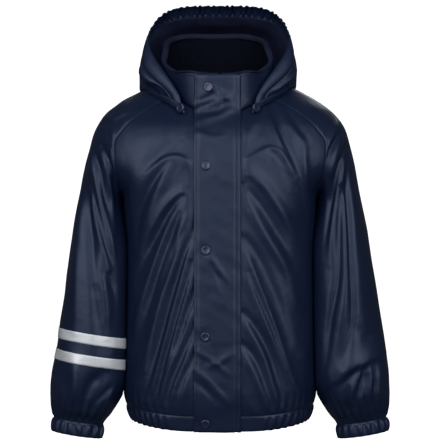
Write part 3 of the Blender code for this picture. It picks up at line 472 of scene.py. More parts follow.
def ring_points(psi, height):
    """Rings of the left sleeve: psi runs from underneath (-1) round the front to the outside (0), and on
    round the back to 1."""
    angle = math.pi * np.abs(psi)
    half_width = read(SLEEVE, "half_width", height)
    y = read(SLEEVE, "centre_y", height) + np.sign(psi) * read(SLEEVE, "half_depth", height) * np.sin(angle)
    z = height + half_width * np.cos(angle) * math.tan(ARM_TILT)
    x = read(SLEEVE, "centre_x", height) + half_width * np.cos(angle)
    touching = eased((UNDERARM + 0.004 - height) / 0.020) * eased((height - HEM_SEAM + 0.008) / 0.008)
    return np.stack([np.maximum(x, (trunk_outside(y, z) + ARM_GAP) * touching), y, z], axis=-1)


def shoulder_points(psi, share):
    """The left sleeve above the underarm: arcs from the front seam (psi of -1) over the ridge to the back."""
    ridge = read(RAGLAN, "ridge_height", share, key="share")
    outside = read(YOKE, "half_width", ridge)
    faces = {}
    for face, sign in (("front", -1), ("back", 1)):
        edge = read(RAGLAN, face + "_height", share, key="share")
        parted = apart(edge)
        seam_x, seam_depth = raglan_seam(edge, face)
        height = ridge + (edge - ridge) * psi**2
        table_x = read(RAGLAN, face + "_x", edge, key=face + "_height")
        turn = angle_at(table_x, read(YOKE, "half_width", edge)) * np.abs(psi)
        x, y = across(turn, read(YOKE, "half_width", height), read(YOKE, face + "_depth", height))
        x += (seam_x - table_x) * psi**6
        on_shoulder = np.stack([x, sign * y * (1 - parted * psi**6), height], axis=-1)
        half_depth = (SLEEVE[-1].half_depth ** 6 + seam_depth**6) ** (1 / 6)
        last = math.pi - np.arcsin(np.clip(seam_depth / half_depth, 0, 1))
        bend = (math.pi + (last - math.pi) * psi**4) * np.abs(psi)
        turned = (1 - np.cos(bend)) / (1 - np.cos(last))
        hanging_x = outside + (seam_x - outside) * turned
        hanging_y = sign * half_depth * np.sin(bend)
        hanging = np.stack([hanging_x, hanging_y, ridge + (edge - ridge) * turned], axis=-1)
        slack = (1 - eased((edge - UNDERARM) / (FOLD_TOP - UNDERARM))) ** 2 + 0 * psi
        faces[face] = on_shoulder + (hanging - on_shoulder) * slack[..., None]
    return np.where((psi < 0)[..., None], faces["front"], faces["back"])


def sleeve_skin():
    """The left sleeve from the cuff seam up to the neck seam."""
    psi = np.concatenate([[-1, -0.997, -0.992], np.linspace(-1, 1, 121)[1:-1], [0.992, 0.997, 1]])
    heights = CUFF_SEAM + (SLEEVE[-1].height - CUFF_SEAM) * TUBE_SHARES
    tube = ring_points(*np.broadcast_arrays(psi, heights[:, None]))
    skin = np.concatenate([tube, shoulder_points(*np.broadcast_arrays(psi, YOKE_SHARES[:, None]))])
    return softened(skin, len(tube), eased((0.97 - np.abs(psi)) / 0.12))


def mirrored(points):
    """The same sheet on the other side, with its columns turned round so that it still faces outwards."""
    return points[:, ::-1] * (-1, 1, 1)


LEAST_AGREEMENT = 0.3  # of normals that meet at a point, squared, for it to get their mean


def normals_of(sheets):
    """Unit normals of each sheet. Points that sheets share get one, unless the skin turns back on itself."""
    found = {}
    edges = []
    for name, points in sheets.items():
        normal = np.cross(np.gradient(points, axis=1), np.gradient(points, axis=0))
        found[name] = normal / np.maximum(np.linalg.norm(normal, axis=-1, keepdims=True), 1e-12)
        rim = np.zeros(points.shape[:2], bool)
        rim[[0, -1]] = rim[:, [0, -1]] = True
        edges += [(name, row, column) for row, column in zip(*np.nonzero(rim))]
    tree = KDTree(len(edges))
    for number, (name, row, column) in enumerate(edges):
        tree.insert(sheets[name][row, column], number)
    tree.balance()
    own = np.array([found[name][row, column] for name, row, column in edges])
    for number, (name, row, column) in enumerate(edges):
        near = [other for _, other, _ in tree.find_range(sheets[name][row, column], 1e-5)]
        mean = own[near].mean(axis=0)
        if mean @ mean > LEAST_AGREEMENT:
            found[name][row, column] = mean / np.linalg.norm(mean)
    return found


def own_normals(sheet):
    return normals_of({"sheet": sheet})["sheet"]


def lengths_along(line):
    """How far along a line each of its points lies."""
    return np.concatenate([[0], np.cumsum(np.linalg.norm(np.diff(line, axis=0), axis=1))])


def read_along(line, lengths, wanted):
    """A line's columns at the wanted lengths along it."""
    return np.stack([np.interp(wanted, lengths, column) for column in line.T], axis=-1)


def fading(distance, reach):
    """1 at no distance, and less the farther off, without an edge."""
    return np.exp(-((distance / reach) ** 2))


FROM_FRONT, FROM_SIDE, FROM_ABOVE = (0, 2), (1, 2), (0, 1)  # the two axes that a view shows
VIEWS = {"front": (FROM_FRONT, (0, -1, 0)), "back": (FROM_FRONT, (0, 1, 0)), "side": (FROM_SIDE, (1, 0, 0))}
FOLD_ENDS = ([0.0, 0.18, 0.62, 1.0], [0.55, 1.0, 1.0, 0.25])  # a fold's strength along its line
FOLD_STEPS = 18
FOLD_SPREAD = 1.25  # in widths: where a fold has faded to a third
FOLD_REACH = 5.5  # in widths: where it has faded to nothing


def fold_lift(points, normals, folds):
    """How far the folds lift each point along its normal. Ridges are positive and troughs negative."""
    ridges, troughs = np.zeros(points.shape[:2]), np.zeros(points.shape[:2])
    for fold in folds:
        axes, towards = VIEWS[fold.view]
        corners = np.array(fold.path) * MM
        lengths = lengths_along(corners)
        line = read_along(corners, lengths, np.linspace(0, lengths[-1], FOLD_STEPS))
        for _ in range(3):
            line[1:-1] = (line[:-2] + 2 * line[1:-1] + line[2:]) / 4
        reach = FOLD_REACH * MM * max(fold.left, fold.right)
        flat = points[..., axes]
        inside = np.all((flat > line.min(axis=0) - reach) & (flat < line.max(axis=0) + reach), axis=-1)
        where = np.nonzero(inside & (normals @ np.array(towards) > 0))
        if len(where[0]) == 0:
            continue
        step = np.diff(line, axis=0)
        offset = flat[where][:, None] - line[None, :-1]
        share = np.clip((offset * step).sum(axis=-1) / (step * step).sum(axis=-1), 0, 1)
        away = offset - share[..., None] * step
        distance = np.linalg.norm(away, axis=-1)
        nearest = distance.argmin(axis=1)
        rows = np.arange(len(nearest))
        side = step[nearest, 0] * away[rows, nearest, 1] - step[nearest, 1] * away[rows, nearest, 0]
        width = np.where(side > 0, fold.left, fold.right) * FOLD_SPREAD * MM
        strength = np.interp((nearest + share[rows, nearest]) / len(step), *FOLD_ENDS)
        facing = eased((normals[where] @ np.array(towards) - 0.05) / 0.45)
        shape = fading(distance[rows, nearest], width) * strength * facing * fold.rise * MM
        (ridges if fold.rise > 0 else troughs)[where] += shape
    return ridges, troughs


def ripple(points, axes, direction, along, spread, seed):
    """Uneven waves drawn out along a direction in one view, from -1 to 1, with their length and width."""
    run = np.array(direction) / np.linalg.norm(direction)
    flat = points[..., axes]
    s, t = flat @ run / along, flat @ np.array([-run[1], run[0]]) / spread
    values = [noise.noise(Vector((a, b, seed))) for a, b in zip(s.ravel(), t.ravel())]
    return np.array(values).reshape(s.shape)


def seam_distance(points, columns=True, rows=True):
    """Distance of each point from the sheet's own edges, measured along its rows and columns."""
    nearest = np.full(points.shape[:2], 1.0)
    for axis, wanted in ((1, columns), (0, rows)):
        if wanted:
            steps = np.linalg.norm(np.diff(points, axis=axis), axis=-1)
            start = np.zeros_like(steps.take([0], axis=axis))
            travelled = np.concatenate([start, np.cumsum(steps, axis=axis)], axis=axis)
            nearest = np.minimum(nearest, np.minimum(travelled, travelled.take([-1], axis=axis) - travelled))
    return nearest


def seam_dip(points, columns=True, rows=True):
    """The cloth sinks a little towards its seams."""
    return -SEAM_DIP * fading(seam_distance(points, columns, rows), SEAM_REACH)


WAVE_DRIFT = 0.035  # the gathers' spacing wanders over this length, and their depth over the next
WAVE_SIZE = 0.020


def gathers(points, pitch, seed, wander=0.0):
    """Uneven waves along the rows, from -1 to 1, like cloth drawn up by elastic. Where they wander, the waves
    of each row differ a little from the next row's."""
    along = lengths_along(points[points.shape[0] // 2])
    rows = np.linspace(0, wander, points.shape[0] if wander else 1)
    drift = np.array([[noise.noise(Vector((s / WAVE_DRIFT, seed, v))) for s in along] for v in rows])
    size = np.array([[noise.noise(Vector((s / WAVE_SIZE, seed, 5.0 + v))) for s in along] for v in rows])
    wave = np.cos(math.tau * along / pitch + 3.0 * drift)
    return (0.75 + 0.5 * size) * (np.abs(wave) ** 0.8 * np.sign(wave))


def colour(hex_code):
    """An sRGB hex colour as linear red, green, blue and alpha."""
    channels = [int(hex_code[i : i + 2], 16) / 255 for i in (1, 3, 5)]
    return (*[c / 12.92 if c <= 0.04045 else ((c + 0.055) / 1.055) ** 2.4 for c in channels], 1.0)


def feed(owner, name, inputs):
    """Links the inputs of a material's or a world's node to other nodes, or gives them a value."""
    for key, value in inputs.items():
        socket = owner.node_tree.nodes[name].inputs[key]
        if isinstance(value, bpy.types.NodeSocket):
            owner.node_tree.links.new(value, socket)
        else:
            socket.default_value = value


def node(owner, kind, settings=None, **inputs):
    """A new node with its settings, links and values."""
    made = owner.node_tree.nodes.new(kind)
    for name, value in (settings or {}).items():
        setattr(made, name, value)
    feed(owner, made.name, inputs)
    return made


def new_material(name):
    """A new material, and the coordinates that its patterns read."""
    made = bpy.data.materials.new(name)
    made.use_nodes = True
    return made, node(made, "ShaderNodeTexCoord").outputs["Object"]


# Polyurethane-coated polyester knit: a smooth, slightly rubbery skin with a satin sheen. The film is cast
# on release paper, which leaves a fine grain, and it scatters its highlights broadly.
CLOTH_NAVY = "#101a33"
CLOTH_NAVY_WORN = "#142039"
WORN_PATCH = 0.0455  # patches of some 45 mm where handling has dulled the film
CRUMPLE = 0.01333
GRAIN = 0.0007  # coarser than the real 0.3 mm grain, so that it can show
coated_cloth, place = new_material("coated_cloth")
worn = node(coated_cloth, "ShaderNodeTexNoise", Vector=place, Scale=1 / WORN_PATCH, Detail=3.0)
tone = node(
    coated_cloth, "ShaderNodeMix", {"data_type": "RGBA"},
    Factor=worn.outputs["Fac"], A=colour(CLOTH_NAVY), B=colour(CLOTH_NAVY_WORN),
)
gloss = node(
    coated_cloth, "ShaderNodeMapRange", Value=worn.outputs["Fac"], **{"To Min": 0.36, "To Max": 0.46}
)
crumple = node(
    coated_cloth, "ShaderNodeTexNoise", Vector=place, Scale=1 / CRUMPLE, Detail=2.0, Roughness=0.45
)
grain = node(coated_cloth, "ShaderNodeTexNoise", Vector=place, Scale=1 / GRAIN, Detail=2.0)
soft = node(coated_cloth, "ShaderNodeBump", Height=crumple.outputs["Fac"], Strength=0.35, Distance=0.0016)
fine = node(
    coated_cloth, "ShaderNodeBump",
    Height=grain.outputs["Fac"], Strength=0.10, Distance=0.0004, Normal=soft.outputs["Normal"],
)
feed(coated_cloth, "Principled BSDF", {
    "Base Color": tone.outputs["Result"],
    "Roughness": gloss.outputs["Result"],
    "Normal": fine.outputs["Normal"],
    "IOR": 1.5,
    "Specular IOR Level": 0.60,
    "Specular Tint": colour("#cdd8f5"),
})


def placed(name, shape, *materials):
    """A finished piece from its bmesh, with smooth faces."""
    for face in shape.faces:
        face.smooth = True
    mesh = bpy.data.meshes.new(name)
    shape.to_mesh(mesh)
    shape.free()
    for material in materials:
        mesh.materials.append(material)
    made = bpy.data.objects.new(name, mesh)
    bpy.context.scene.collection.objects.link(made)
    return made


def cloth_wall(name, points, node_name, thickness=CLOTH, material=coated_cloth,
               joined=False):
    """A piece of cloth from a sheet of points, its thickness behind it. A joined sheet closes on itself."""
    wall = bmesh.new()
    bmesh.ops.create_grid(wall, x_segments=points.shape[1] - 1, y_segments=points.shape[0] - 1, size=1)
    for vertex, point in zip(wall.verts, points.reshape(-1, 3)):
        vertex.co = point
    if joined:
        bmesh.ops.remove_doubles(wall, verts=wall.verts[:], dist=2e-6)
    made = placed(name, wall, material)
    behind = made.modifiers.new("thickness", "SOLIDIFY")
    behind.thickness = thickness
    behind.offset = -1.0
    behind.use_rim = True
    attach(made, "root")
    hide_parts(node_name)
    return made


# Polyester sewing thread, spun and twisted: matt, and a shade darker than the cloth, which it sinks into a
# little.
THREAD_RADIUS = 0.00045  # the real thread is 0.3 mm thick, too fine to show
TWIST = 0.0004
STITCH = 0.0030
STITCH_PITCH = 0.0042
STITCH_INSET = 0.0030  # from a seam to the row of stitches beside it
sewing_thread, place = new_material("polyester_thread")
twist = node(sewing_thread, "ShaderNodeTexNoise", Vector=place, Scale=1 / TWIST, Detail=1.0).outputs["Fac"]
dyed = node(
    sewing_thread, "ShaderNodeMix", {"data_type": "RGBA"},
    Factor=twist, A=colour("#080c18"), B=colour("#141b30"),
)
plied = node(sewing_thread, "ShaderNodeBump", Height=twist, Strength=0.5, Distance=0.0002)
feed(sewing_thread, "Principled BSDF", {
    "Base Color": dyed.outputs["Result"], "Normal": plied.outputs["Normal"],
    "Roughness": 0.75, "Specular IOR Level": 0.25,
})


def line_beside_edge(sheet, out, distance):
    """The line at a distance from a sheet's first column: its points, and the sheet's normals there."""
    steps = np.linalg.norm(np.diff(sheet, axis=1), axis=-1)
    travelled = np.concatenate([np.zeros((len(sheet), 1)), np.cumsum(steps, axis=1)], axis=1)
    both = np.concatenate([sheet, out], axis=-1)
    return np.array([read_along(row, lengths, distance) for row, lengths in zip(both, travelled)])


def from_top(sheet):
    """A sheet and its normals, turned so that its top edge is the first column."""
    return sheet[::-1].swapaxes(0, 1), own_normals(sheet)[::-1].swapaxes(0, 1)


def stitches(name, lines, side=0.0):
    """Rows of stitches along lines of points and normals, on the cloth or, at a side below 0, behind it."""
    grain = bmesh.new()
    bmesh.ops.create_uvsphere(grain, u_segments=6, v_segments=5, radius=1)
    grain.verts.index_update()
    row = bmesh.new()
    for line in lines:
        along = lengths_along(line[:, :3])
        for start in np.arange(STITCH_PITCH, along[-1] - STITCH_PITCH, STITCH_PITCH):
            ends = [read_along(line, along, at) for at in (start, start + STITCH)]
            first, last = (Vector(end[:3]) + Vector(end[3:]).normalized() * side for end in ends)
            turned = (last - first).to_track_quat("Z", "Y").to_matrix().to_4x4()
            size = Matrix.Diagonal((THREAD_RADIUS, THREAD_RADIUS, (last - first).length / 2, 1))
            place = Matrix.Translation((first + last) / 2) @ turned @ size
            corners = [row.verts.new(place @ vertex.co) for vertex in grain.verts]
            for face in grain.faces:
                row.faces.new([corners[vertex.index] for vertex in face.verts])
    grain.free()
    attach(placed(name, row, sewing_thread), "root")


GATHER_TOP = 0.050  # above a seam with elastic, where its gathers have run out
TRUNK_PITCH = 0.0125
TRUNK_GATHER = 0.0019
SLEEVE_PITCH = 0.0120
SLEEVE_GATHER = 0.0022
CALM_TOP = -0.060  # the trunk's ripples are faint above this height
SLEEVE_CLEAR = -0.395  # the sleeve hangs clear of the trunk below this height
RIGHT_SLEEVE_SEED = 19.0  # the bands follow the same folds and ripples as this sleeve


def trunk_lift(points, normals, folds, flap_edge, lean, seed):
    """Folds, long ripples that lean with them, and the gathers above the hem's elastic. The cloth lies flat
    under the flap, whose edge is measured from the middle, and is smooth at the side seam."""
    ridges, troughs = fold_lift(points, normals, folds)
    aside, height = np.abs(points[..., 0]), points[..., 2]
    loose = 0.0016 * ripple(points, FROM_FRONT, (lean, -1.0), along=0.110, spread=0.026, seed=seed)
    loose += 0.0007 * ripple(points, FROM_FRONT, (lean, -1.0), along=0.060, spread=0.012, seed=seed + 9.0)
    loose *= 0.35 + 0.65 * eased((CALM_TOP - height) / 0.080)
    low = eased((HEM_SEAM + GATHER_TOP - height) / GATHER_TOP) ** 1.6
    flat_part = eased((aside - flap_edge - 0.024) / 0.030) if flap_edge else 1.0
    drawn = TRUNK_GATHER * gathers(points, TRUNK_PITCH, seed) * low * flat_part
    beside_flap = eased((aside - flap_edge - 0.001) / 0.007) if flap_edge else 1.0
    above = (ridges + np.maximum(loose, 0) + drawn) * beside_flap
    return (above + troughs + np.minimum(loose, 0)) * eased((UNDERARM_X - 0.006 - aside) / 0.016)


def sleeve_lift(points, normals, folds, seed):
    """Folds, ripples and the gathers above the cuff. The cloth is smooth at its seam and beside the trunk."""
    ridges, troughs = fold_lift(points, normals, folds)
    height = points[..., 2]
    loose = 0.0014 * ripple(points, FROM_FRONT, (-0.25, -1.0), along=0.120, spread=0.024, seed=seed)
    loose += 0.0011 * ripple(points, FROM_SIDE, (-0.30, -1.0), along=0.100, spread=0.022, seed=seed + 4.0)
    low = eased((CUFF_SEAM + GATHER_TOP - height) / 0.046) * eased((height - CUFF_SEAM) / 0.006)
    drawn = SLEEVE_GATHER * gathers(points, SLEEVE_PITCH, seed) * low
    psi = np.abs(np.linspace(-1, 1, points.shape[1]))[None, :]
    off_seam = eased((0.86 - psi) / 0.16)
    off_trunk = eased((points[..., 0] - UNDERARM_X - 0.004) / 0.012)
    off_trunk = np.maximum(off_trunk, eased((SLEEVE_CLEAR - height) / 0.020))
    on_shoulder = eased((height - UNDERARM - 0.004) / 0.020)
    return (ridges + troughs + loose + drawn) * (on_shoulder + (1 - on_shoulder) * off_seam * off_trunk)


front_left, back_left, sleeve_left = trunk_half("front"), trunk_half("back")[:, ::-1], sleeve_skin()
skins = {
    "front_left": front_left,
    "front_right": front_left,
    "back": np.concatenate([back_left, mirrored(back_left)[:, 1:]], axis=1),
    "sleeve_left": sleeve_left,
    "sleeve_right": sleeve_left,
}
normals = normals_of({name: skins[name] for name in ("front_left", "back", "sleeve_left")})
normals["front_right"], normals["sleeve_right"] = normals["front_left"], normals["sleeve_left"]
normals["front_left"][:, 0, 0] = 0  # the two halves meet in the middle, so nothing leans to a side there
normals["back"][:, len(normals["back"][0]) // 2, 0] = 0
normals["back"] = (normals["back"] + normals["back"][:, ::-1] * (-1, 1, 1)) / 2
# How the cloth of each piece is lifted: by its folds and a seed, and on the trunk also by the flap's edge
# and the ripples' lean.
lifts = {
    "front_left": (trunk_lift, LEFT_FRONT_FOLDS, FLAP_LEFT_EDGE, 0.45, 3.0),
    "front_right": (trunk_lift, RIGHT_FRONT_FOLDS, -FLAP_RIGHT_EDGE, 0.45, 7.0),
    "back": (trunk_lift, BACK_FOLDS, 0.0, 0.0, 11.0),
    "sleeve_left": (sleeve_lift, LEFT_SLEEVE_FOLDS, 15.0),
    "sleeve_right": (sleeve_lift, RIGHT_SLEEVE_FOLDS, RIGHT_SLEEVE_SEED),
}
FOLDS_FADE = 0.006  # the folds run out over this distance from a seam
SLEEVE_STITCH_INSET = 0.0032
for name, points in skins.items():
    lifted, *how = lifts[name]
    lift = lifted(points, normals[name], *how) * eased(seam_distance(points) / FOLDS_FADE) + seam_dip(points)
    points = points + normals[name] * lift[..., None]
    if name.endswith("right"):
        points = mirrored(points)
    panel = cloth_wall(name + "_cloth", points, name, joined="sleeve" in name)
    if "sleeve" in name:
        out = own_normals(points)
        raglan = slice(8 - len(YOKE_SHARES), None)  # the rows start a little above the underarm
        edges = [(points[raglan], out[raglan]), (points[raglan, ::-1], out[raglan, ::-1])]
        stitches(name + "_stitches", [line_beside_edge(*edge, SLEEVE_STITCH_INSET) for edge in edges])


# Reflective bands: two strips of silver tape pressed on round the right sleeve's lower half. Glass beads on
# a grey cloth backing give it a bright, slightly grainy silver with fine lines along the strip.
BAND_EDGES = [(-0.3738, -0.3597), (-0.3448, -0.3307)]
TAPE = 0.0005
TAPE_GAP = 0.0002
RULING = (0.0167, 0.0167, 0.00067)  # the fine lines' length along the strip, twice, and their spacing
BEAD = 0.000556  # coarser than the real 0.05 mm beads, so that they can show
reflective_tape, place = new_material("reflective_tape")
stretched = node(reflective_tape, "ShaderNodeMapping", Vector=place, Scale=[1 / size for size in RULING])
lines = node(reflective_tape, "ShaderNodeTexNoise", Vector=stretched.outputs["Vector"], Scale=1.0, Detail=3.0)
beads = node(reflective_tape, "ShaderNodeTexNoise", Vector=place, Scale=1 / BEAD, Detail=1.0)
beads = beads.outputs["Fac"]
silver = node(
    reflective_tape, "ShaderNodeMix", {"data_type": "RGBA"},
    Factor=lines.outputs["Fac"], A=colour("#c6cad2"), B=colour("#ffffff"),
)
scatter = node(reflective_tape, "ShaderNodeMapRange", Value=beads, **{"To Min": 0.38, "To Max": 0.55})
rough = node(reflective_tape, "ShaderNodeBump", Height=beads, Strength=0.15, Distance=0.0002)
feed(reflective_tape, "Principled BSDF", {
    "Base Color": silver.outputs["Result"], "Roughness": scatter.outputs["Result"],
    "Normal": rough.outputs["Normal"], "Metallic": 0.35,
})

for (low, high), name in zip(BAND_EDGES, ("reflective_band_lower", "reflective_band_upper")):
    strip = ring_points(*np.broadcast_arrays(np.linspace(-1, 1, 121), np.linspace(low, high, 8)[:, None]))
    out = own_normals(strip)
    out[:, [0, -1]] = out[:, [0]] + out[:, [-1]]
    out /= np.linalg.norm(out, axis=-1, keepdims=True)
    lift = sleeve_lift(strip, out, RIGHT_SLEEVE_FOLDS, RIGHT_SLEEVE_SEED) + TAPE + TAPE_GAP
    strip = mirrored(strip + out * lift[..., None])
    tape = cloth_wall(name + "_tape", strip, name, TAPE, reflective_tape, joined=True)
    tape.visible_glossy = False  # the satin cloth beside it doesn't mirror it


# Cuffs: the end of each sleeve is turned over an elastic, which draws it up into uneven pleats, deepest at
# the lower edge.

CUFF_PITCH = 0.0115
CUFF_GATHER = 0.0019
CASING_PUFF = 0.0012
CASING_CALM = 0.25  # the pleats run out over this top share of a casing
psi = np.linspace(-1, 1, 361)
up = crowded(11, 0.06)
cuff = ring_points(*np.broadcast_arrays(psi, (CUFF_EDGE + (CUFF_SEAM - CUFF_EDGE) * up)[:, None]))
out = own_normals(cuff)
deepest = (0.35 + 0.65 * np.sin(math.pi * np.clip(1.1 - up, 0, 1)))[:, None]
deepest = deepest * eased((1 - up) / CASING_CALM)[:, None]
off_seam = eased((1 - np.abs(psi)) / 0.03)[None, :]
for side, seed in (("left", 23.0), ("right", 27.0)):
    lift = CUFF_GATHER * gathers(cuff, CUFF_PITCH, seed, wander=0.9) * deepest
    lift += CASING_PUFF * np.sin(math.pi * up)[:, None] + seam_dip(cuff, columns=False)
    sheet = cuff + out * (lift * off_seam)[..., None]
    sheet = mirrored(sheet) if side == "right" else sheet
    casing = cloth_wall(f"cuff_{side}_cloth", sheet, f"cuff_{side}", joined=True)
    stitches(f"cuff_{side}_stitches", [line_beside_edge(*from_top(sheet), STITCH_INSET)])


# Hem: the lower edge is turned up over an elastic that runs round the back and sides. Beside the storm flap
# the casing has no elastic and lies flat.

HEM_PITCH = 0.0120
HEM_GATHER = 0.0012
ELASTIC_START = 0.020  # from the flap's edge
ELASTIC_FULL = 0.045


def hem_skin(columns, up):
    """The casing at shares of its height, from the middle of the front round the left side and back."""
    angle = np.linspace(-math.pi / 2, math.pi * 3 / 2, columns)
    height = (HEM_EDGE + (HEM_SEAM - HEM_EDGE) * up)[:, None]
    depth = np.where(np.sin(angle) < 0, read(TRUNK, "front_depth", height), read(TRUNK, "back_depth", height))
    x, y = across(np.arcsin(np.abs(np.sin(angle))), read(TRUNK, "half_width", height), depth)
    x, y = x * np.sign(np.cos(angle)), y * np.sign(np.sin(angle))
    x[:, [0, -1]] = 0
    return np.stack([x, y, height + swept(x, height)], axis=-1)


up = crowded(11, 0.06)
hem = hem_skin(841, up)
out = own_normals(hem)
out[:, [0, -1]] = (0, -1, 0)
beside = np.abs(hem[..., 0]) - np.where(hem[..., 0] > 0, FLAP_LEFT_EDGE, -FLAP_RIGHT_EDGE)
elastic = np.where(hem[..., 1] < 0, eased((beside - ELASTIC_START) / (ELASTIC_FULL - ELASTIC_START)), 1.0)
lift = HEM_GATHER * gathers(hem, HEM_PITCH, 31.0, wander=0.8) * eased((1 - up) / CASING_CALM)[:, None]
lift += CASING_PUFF * np.sin(math.pi * up)[:, None]
lift = lift * elastic + seam_dip(hem, columns=False)
hem = hem + out * lift[..., None]
hem_cloth = cloth_wall("hem_casing_cloth", hem, "hem_casing")
stitches("hem_casing_stitches", [line_beside_edge(*from_top(hem), STITCH_INSET)])


# Stand collar: coated cloth outside, turned over the top edge and down inside as a narrow rim, which is
# coloured as a darker knit: painted shade, for the hood's shadow over it. Inside it is lined with brushed
# fleece, which swallows the light; its near-black colour is partly painted shade under the hood.

Stand = namedtuple("Stand", "place rise lean")
COLLAR = [
    Stand(0.00, 0.054, 0.002),
    Stand(0.16, 0.052, 0.002),
    Stand(0.33, 0.038, 0.001),
    Stand(0.42, 0.0375, -0.002),
    Stand(0.50, 0.048, -0.003),
    Stand(0.58, 0.0595, -0.001),
    Stand(0.67, 0.0655, 0.002),
    Stand(0.84, 0.0645, 0.004),
    Stand(1.00, 0.0630, 0.004),
]
COLLAR_OPENING = 0.003
COLLAR_THICKNESS = 0.0052
COLLAR_RIM = 0.0070
COLLAR_LEAN = -0.110  # its sides and back lean to the wearer's right, by this share of their height
COLLAR_ROLL = 0.6
LOOP = 0.00091  # coarser than the real 0.4 mm loops, so that they can show


def knit(name, dark, light):
    """The knit's matt back: short loops that the coating doesn't cover. Its given colours hold painted light
    inside the hood and painted shade on the collar's rim.
    """
    made, place = new_material(name)
    loops = node(made, "ShaderNodeTexNoise", Vector=place, Scale=1 / LOOP, Detail=2.0).outputs["Fac"]
    shade = node(made, "ShaderNodeMix", {"data_type": "RGBA"}, Factor=loops, A=colour(dark), B=colour(light))
    bump = node(made, "ShaderNodeBump", Height=loops, Strength=0.4, Distance=0.0003)
    feed(made, "Principled BSDF", {
        "Base Color": shade.outputs["Result"], "Normal": bump.outputs["Normal"],
        "Roughness": 0.85, "Specular IOR Level": 0.2,
    })
    return made


# painted light: the knit's own colour, lightened to stand in for light inside the shaded hood
knit_back_painted_light = knit("knit_back_painted_light", "#272c4c", "#383e62")
# painted shade: a darker knit for the collar's turned rim, standing in for the shadow the hood casts there
turned_edge_painted_shade = knit("turned_edge_painted_shade", "#12162a", "#1b2038")


def neck_points(place):
    """The neck seam: 0 is the middle of the front, 1/3 and 2/3 the raglan seams, 1 the middle of the back."""
    front, back = np.clip(3 * place, 0, 1), np.clip(3 - 3 * place, 0, 1)
    on_front = trunk_points(front, neck_height(front, "front"), neck_height(1, "front") + 0 * front, "front")
    on_back = trunk_points(back, neck_height(back, "back"), neck_height(1, "back") + 0 * back, "back")
    on_sleeve = shoulder_points(np.clip(6 * place - 3, -1, 1), np.ones_like(place))
    above_back = np.where((place > 2 / 3)[..., None], on_back, on_sleeve)
    return np.where((place < 1 / 3)[..., None], on_front, above_back)


def collar_sheet(rows, roll=0.0):
    """The collar from its left front edge round the back. Each row is at a share of its height, less a drop,
    and moved in towards the neck by an inset, which grows at the sides by the roll."""
    place = np.linspace(0, 1, 91)
    place[0] = COLLAR_OPENING
    share, drop, inset = (np.array(values)[:, None] for values in zip(*rows))
    rise = read(COLLAR, "rise", place, key="place")
    up = 2 * SEAM_GAP + (rise - 2 * SEAM_GAP) * share - drop
    base = neck_points(place)
    away = base * (1, 1, 0) / np.linalg.norm(base[:, :2], axis=-1, keepdims=True)
    left = base + away * (read(COLLAR, "lean", place, key="place") * up / rise)[..., None]
    left[..., 2] += up
    sheet = np.concatenate([left, mirrored(left)[:, 1:]], axis=1)
    aside = COLLAR_LEAN * up * eased(place / 0.4)
    sheet[..., 0] += np.concatenate([aside, aside[:, -2::-1]], axis=1)
    for _ in range(4):
        sheet[:, 1:-1] = (sheet[:, :-2] + 2 * sheet[:, 1:-1] + sheet[:, 2:]) / 4
    along = np.gradient(sheet, axis=1)
    outward = np.stack([along[..., 1], -along[..., 0], np.zeros(sheet.shape[:2])], axis=-1)
    fuller = 1 + roll * eased((place - 0.25) / 0.25) * eased((1.0 - place) / 0.30)
    inset = inset * np.concatenate([fuller, fuller[-2::-1]])
    return sheet - outward / np.linalg.norm(outward, axis=-1, keepdims=True) * inset[..., None]


turn = COLLAR_THICKNESS / 2
collar_rows = [(share, 0, 0) for share in np.concatenate([[0, 0.008, 0.02], np.linspace(0.05, 0.97, 18)])]
turned_row = len(collar_rows) + 2
for angle in np.linspace(0, math.pi, 9):
    collar_rows.append((1, turn * (1 - math.sin(angle)), turn * (1 - math.cos(angle))))
collar_rows += [(1, drop, COLLAR_THICKNESS) for drop in (0.0040, 0.0055, COLLAR_RIM)]
collar = collar_sheet(collar_rows, COLLAR_ROLL)
row = np.arange(len(collar_rows))[:, None]
wave = 0.0011 * ripple(collar, FROM_FRONT, (0.5, -1.0), along=0.040, spread=0.020, seed=37.0)
wave = wave * eased((row - 1) / 4) * eased((20 - row) / 6) + seam_dip(collar, columns=False) * (row < 8)
collar = collar + own_normals(collar) * wave[..., None]
collar_cloth = cloth_wall("collar_cloth", collar, "collar")
# the turned rim's rows take the darker knit: painted shade under the hood
collar_cloth.data.materials.append(turned_edge_painted_shade)
for face in collar_cloth.data.polygons:
    if face.index // (collar.shape[1] - 1) >= turned_row:
        face.material_index = 1
stitches("collar_stitches", np.concatenate([collar, own_normals(collar)], axis=-1)[[5, 18]])

# Brushed fleece: its raised pile stands in small tufts and swallows the light. Its colours are the fleece's
# own dark navy, darkened further: painted shade, for the hood's shadow inside the collar.
LINING_SHADED_DARK = "#04060e"
LINING_SHADED_PILE = "#0b0e1c"
PILE = 0.00143
TUFT = 0.00833
fleece, place = new_material("brushed_fleece_painted_shade")
pile = node(fleece, "ShaderNodeTexNoise", Vector=place, Scale=1 / PILE, Detail=4.0, Roughness=0.7)
tufts = node(fleece, "ShaderNodeTexNoise", Vector=place, Scale=1 / TUFT, Detail=2.0).outputs["Fac"]
both = node(fleece, "ShaderNodeMath", {"operation": "ADD"})
feed(fleece, both.name, {0: pile.outputs["Fac"], 1: tufts})
shade = node(
    fleece, "ShaderNodeMix", {"data_type": "RGBA"},
    Factor=tufts, A=colour(LINING_SHADED_DARK), B=colour(LINING_SHADED_PILE),
)
fluff = node(fleece, "ShaderNodeBump", Height=both.outputs["Value"], Strength=0.7, Distance=0.0009)
feed(fleece, "Principled BSDF", {
    "Base Color": shade.outputs["Result"], "Normal": fluff.outputs["Normal"],
    "Roughness": 0.95, "Specular IOR Level": 0.08,
})
behind = CLOTH + 3 * SEAM_GAP
lining_rows = [(share, 0, behind) for share in np.linspace(0, 0.85, 24)]
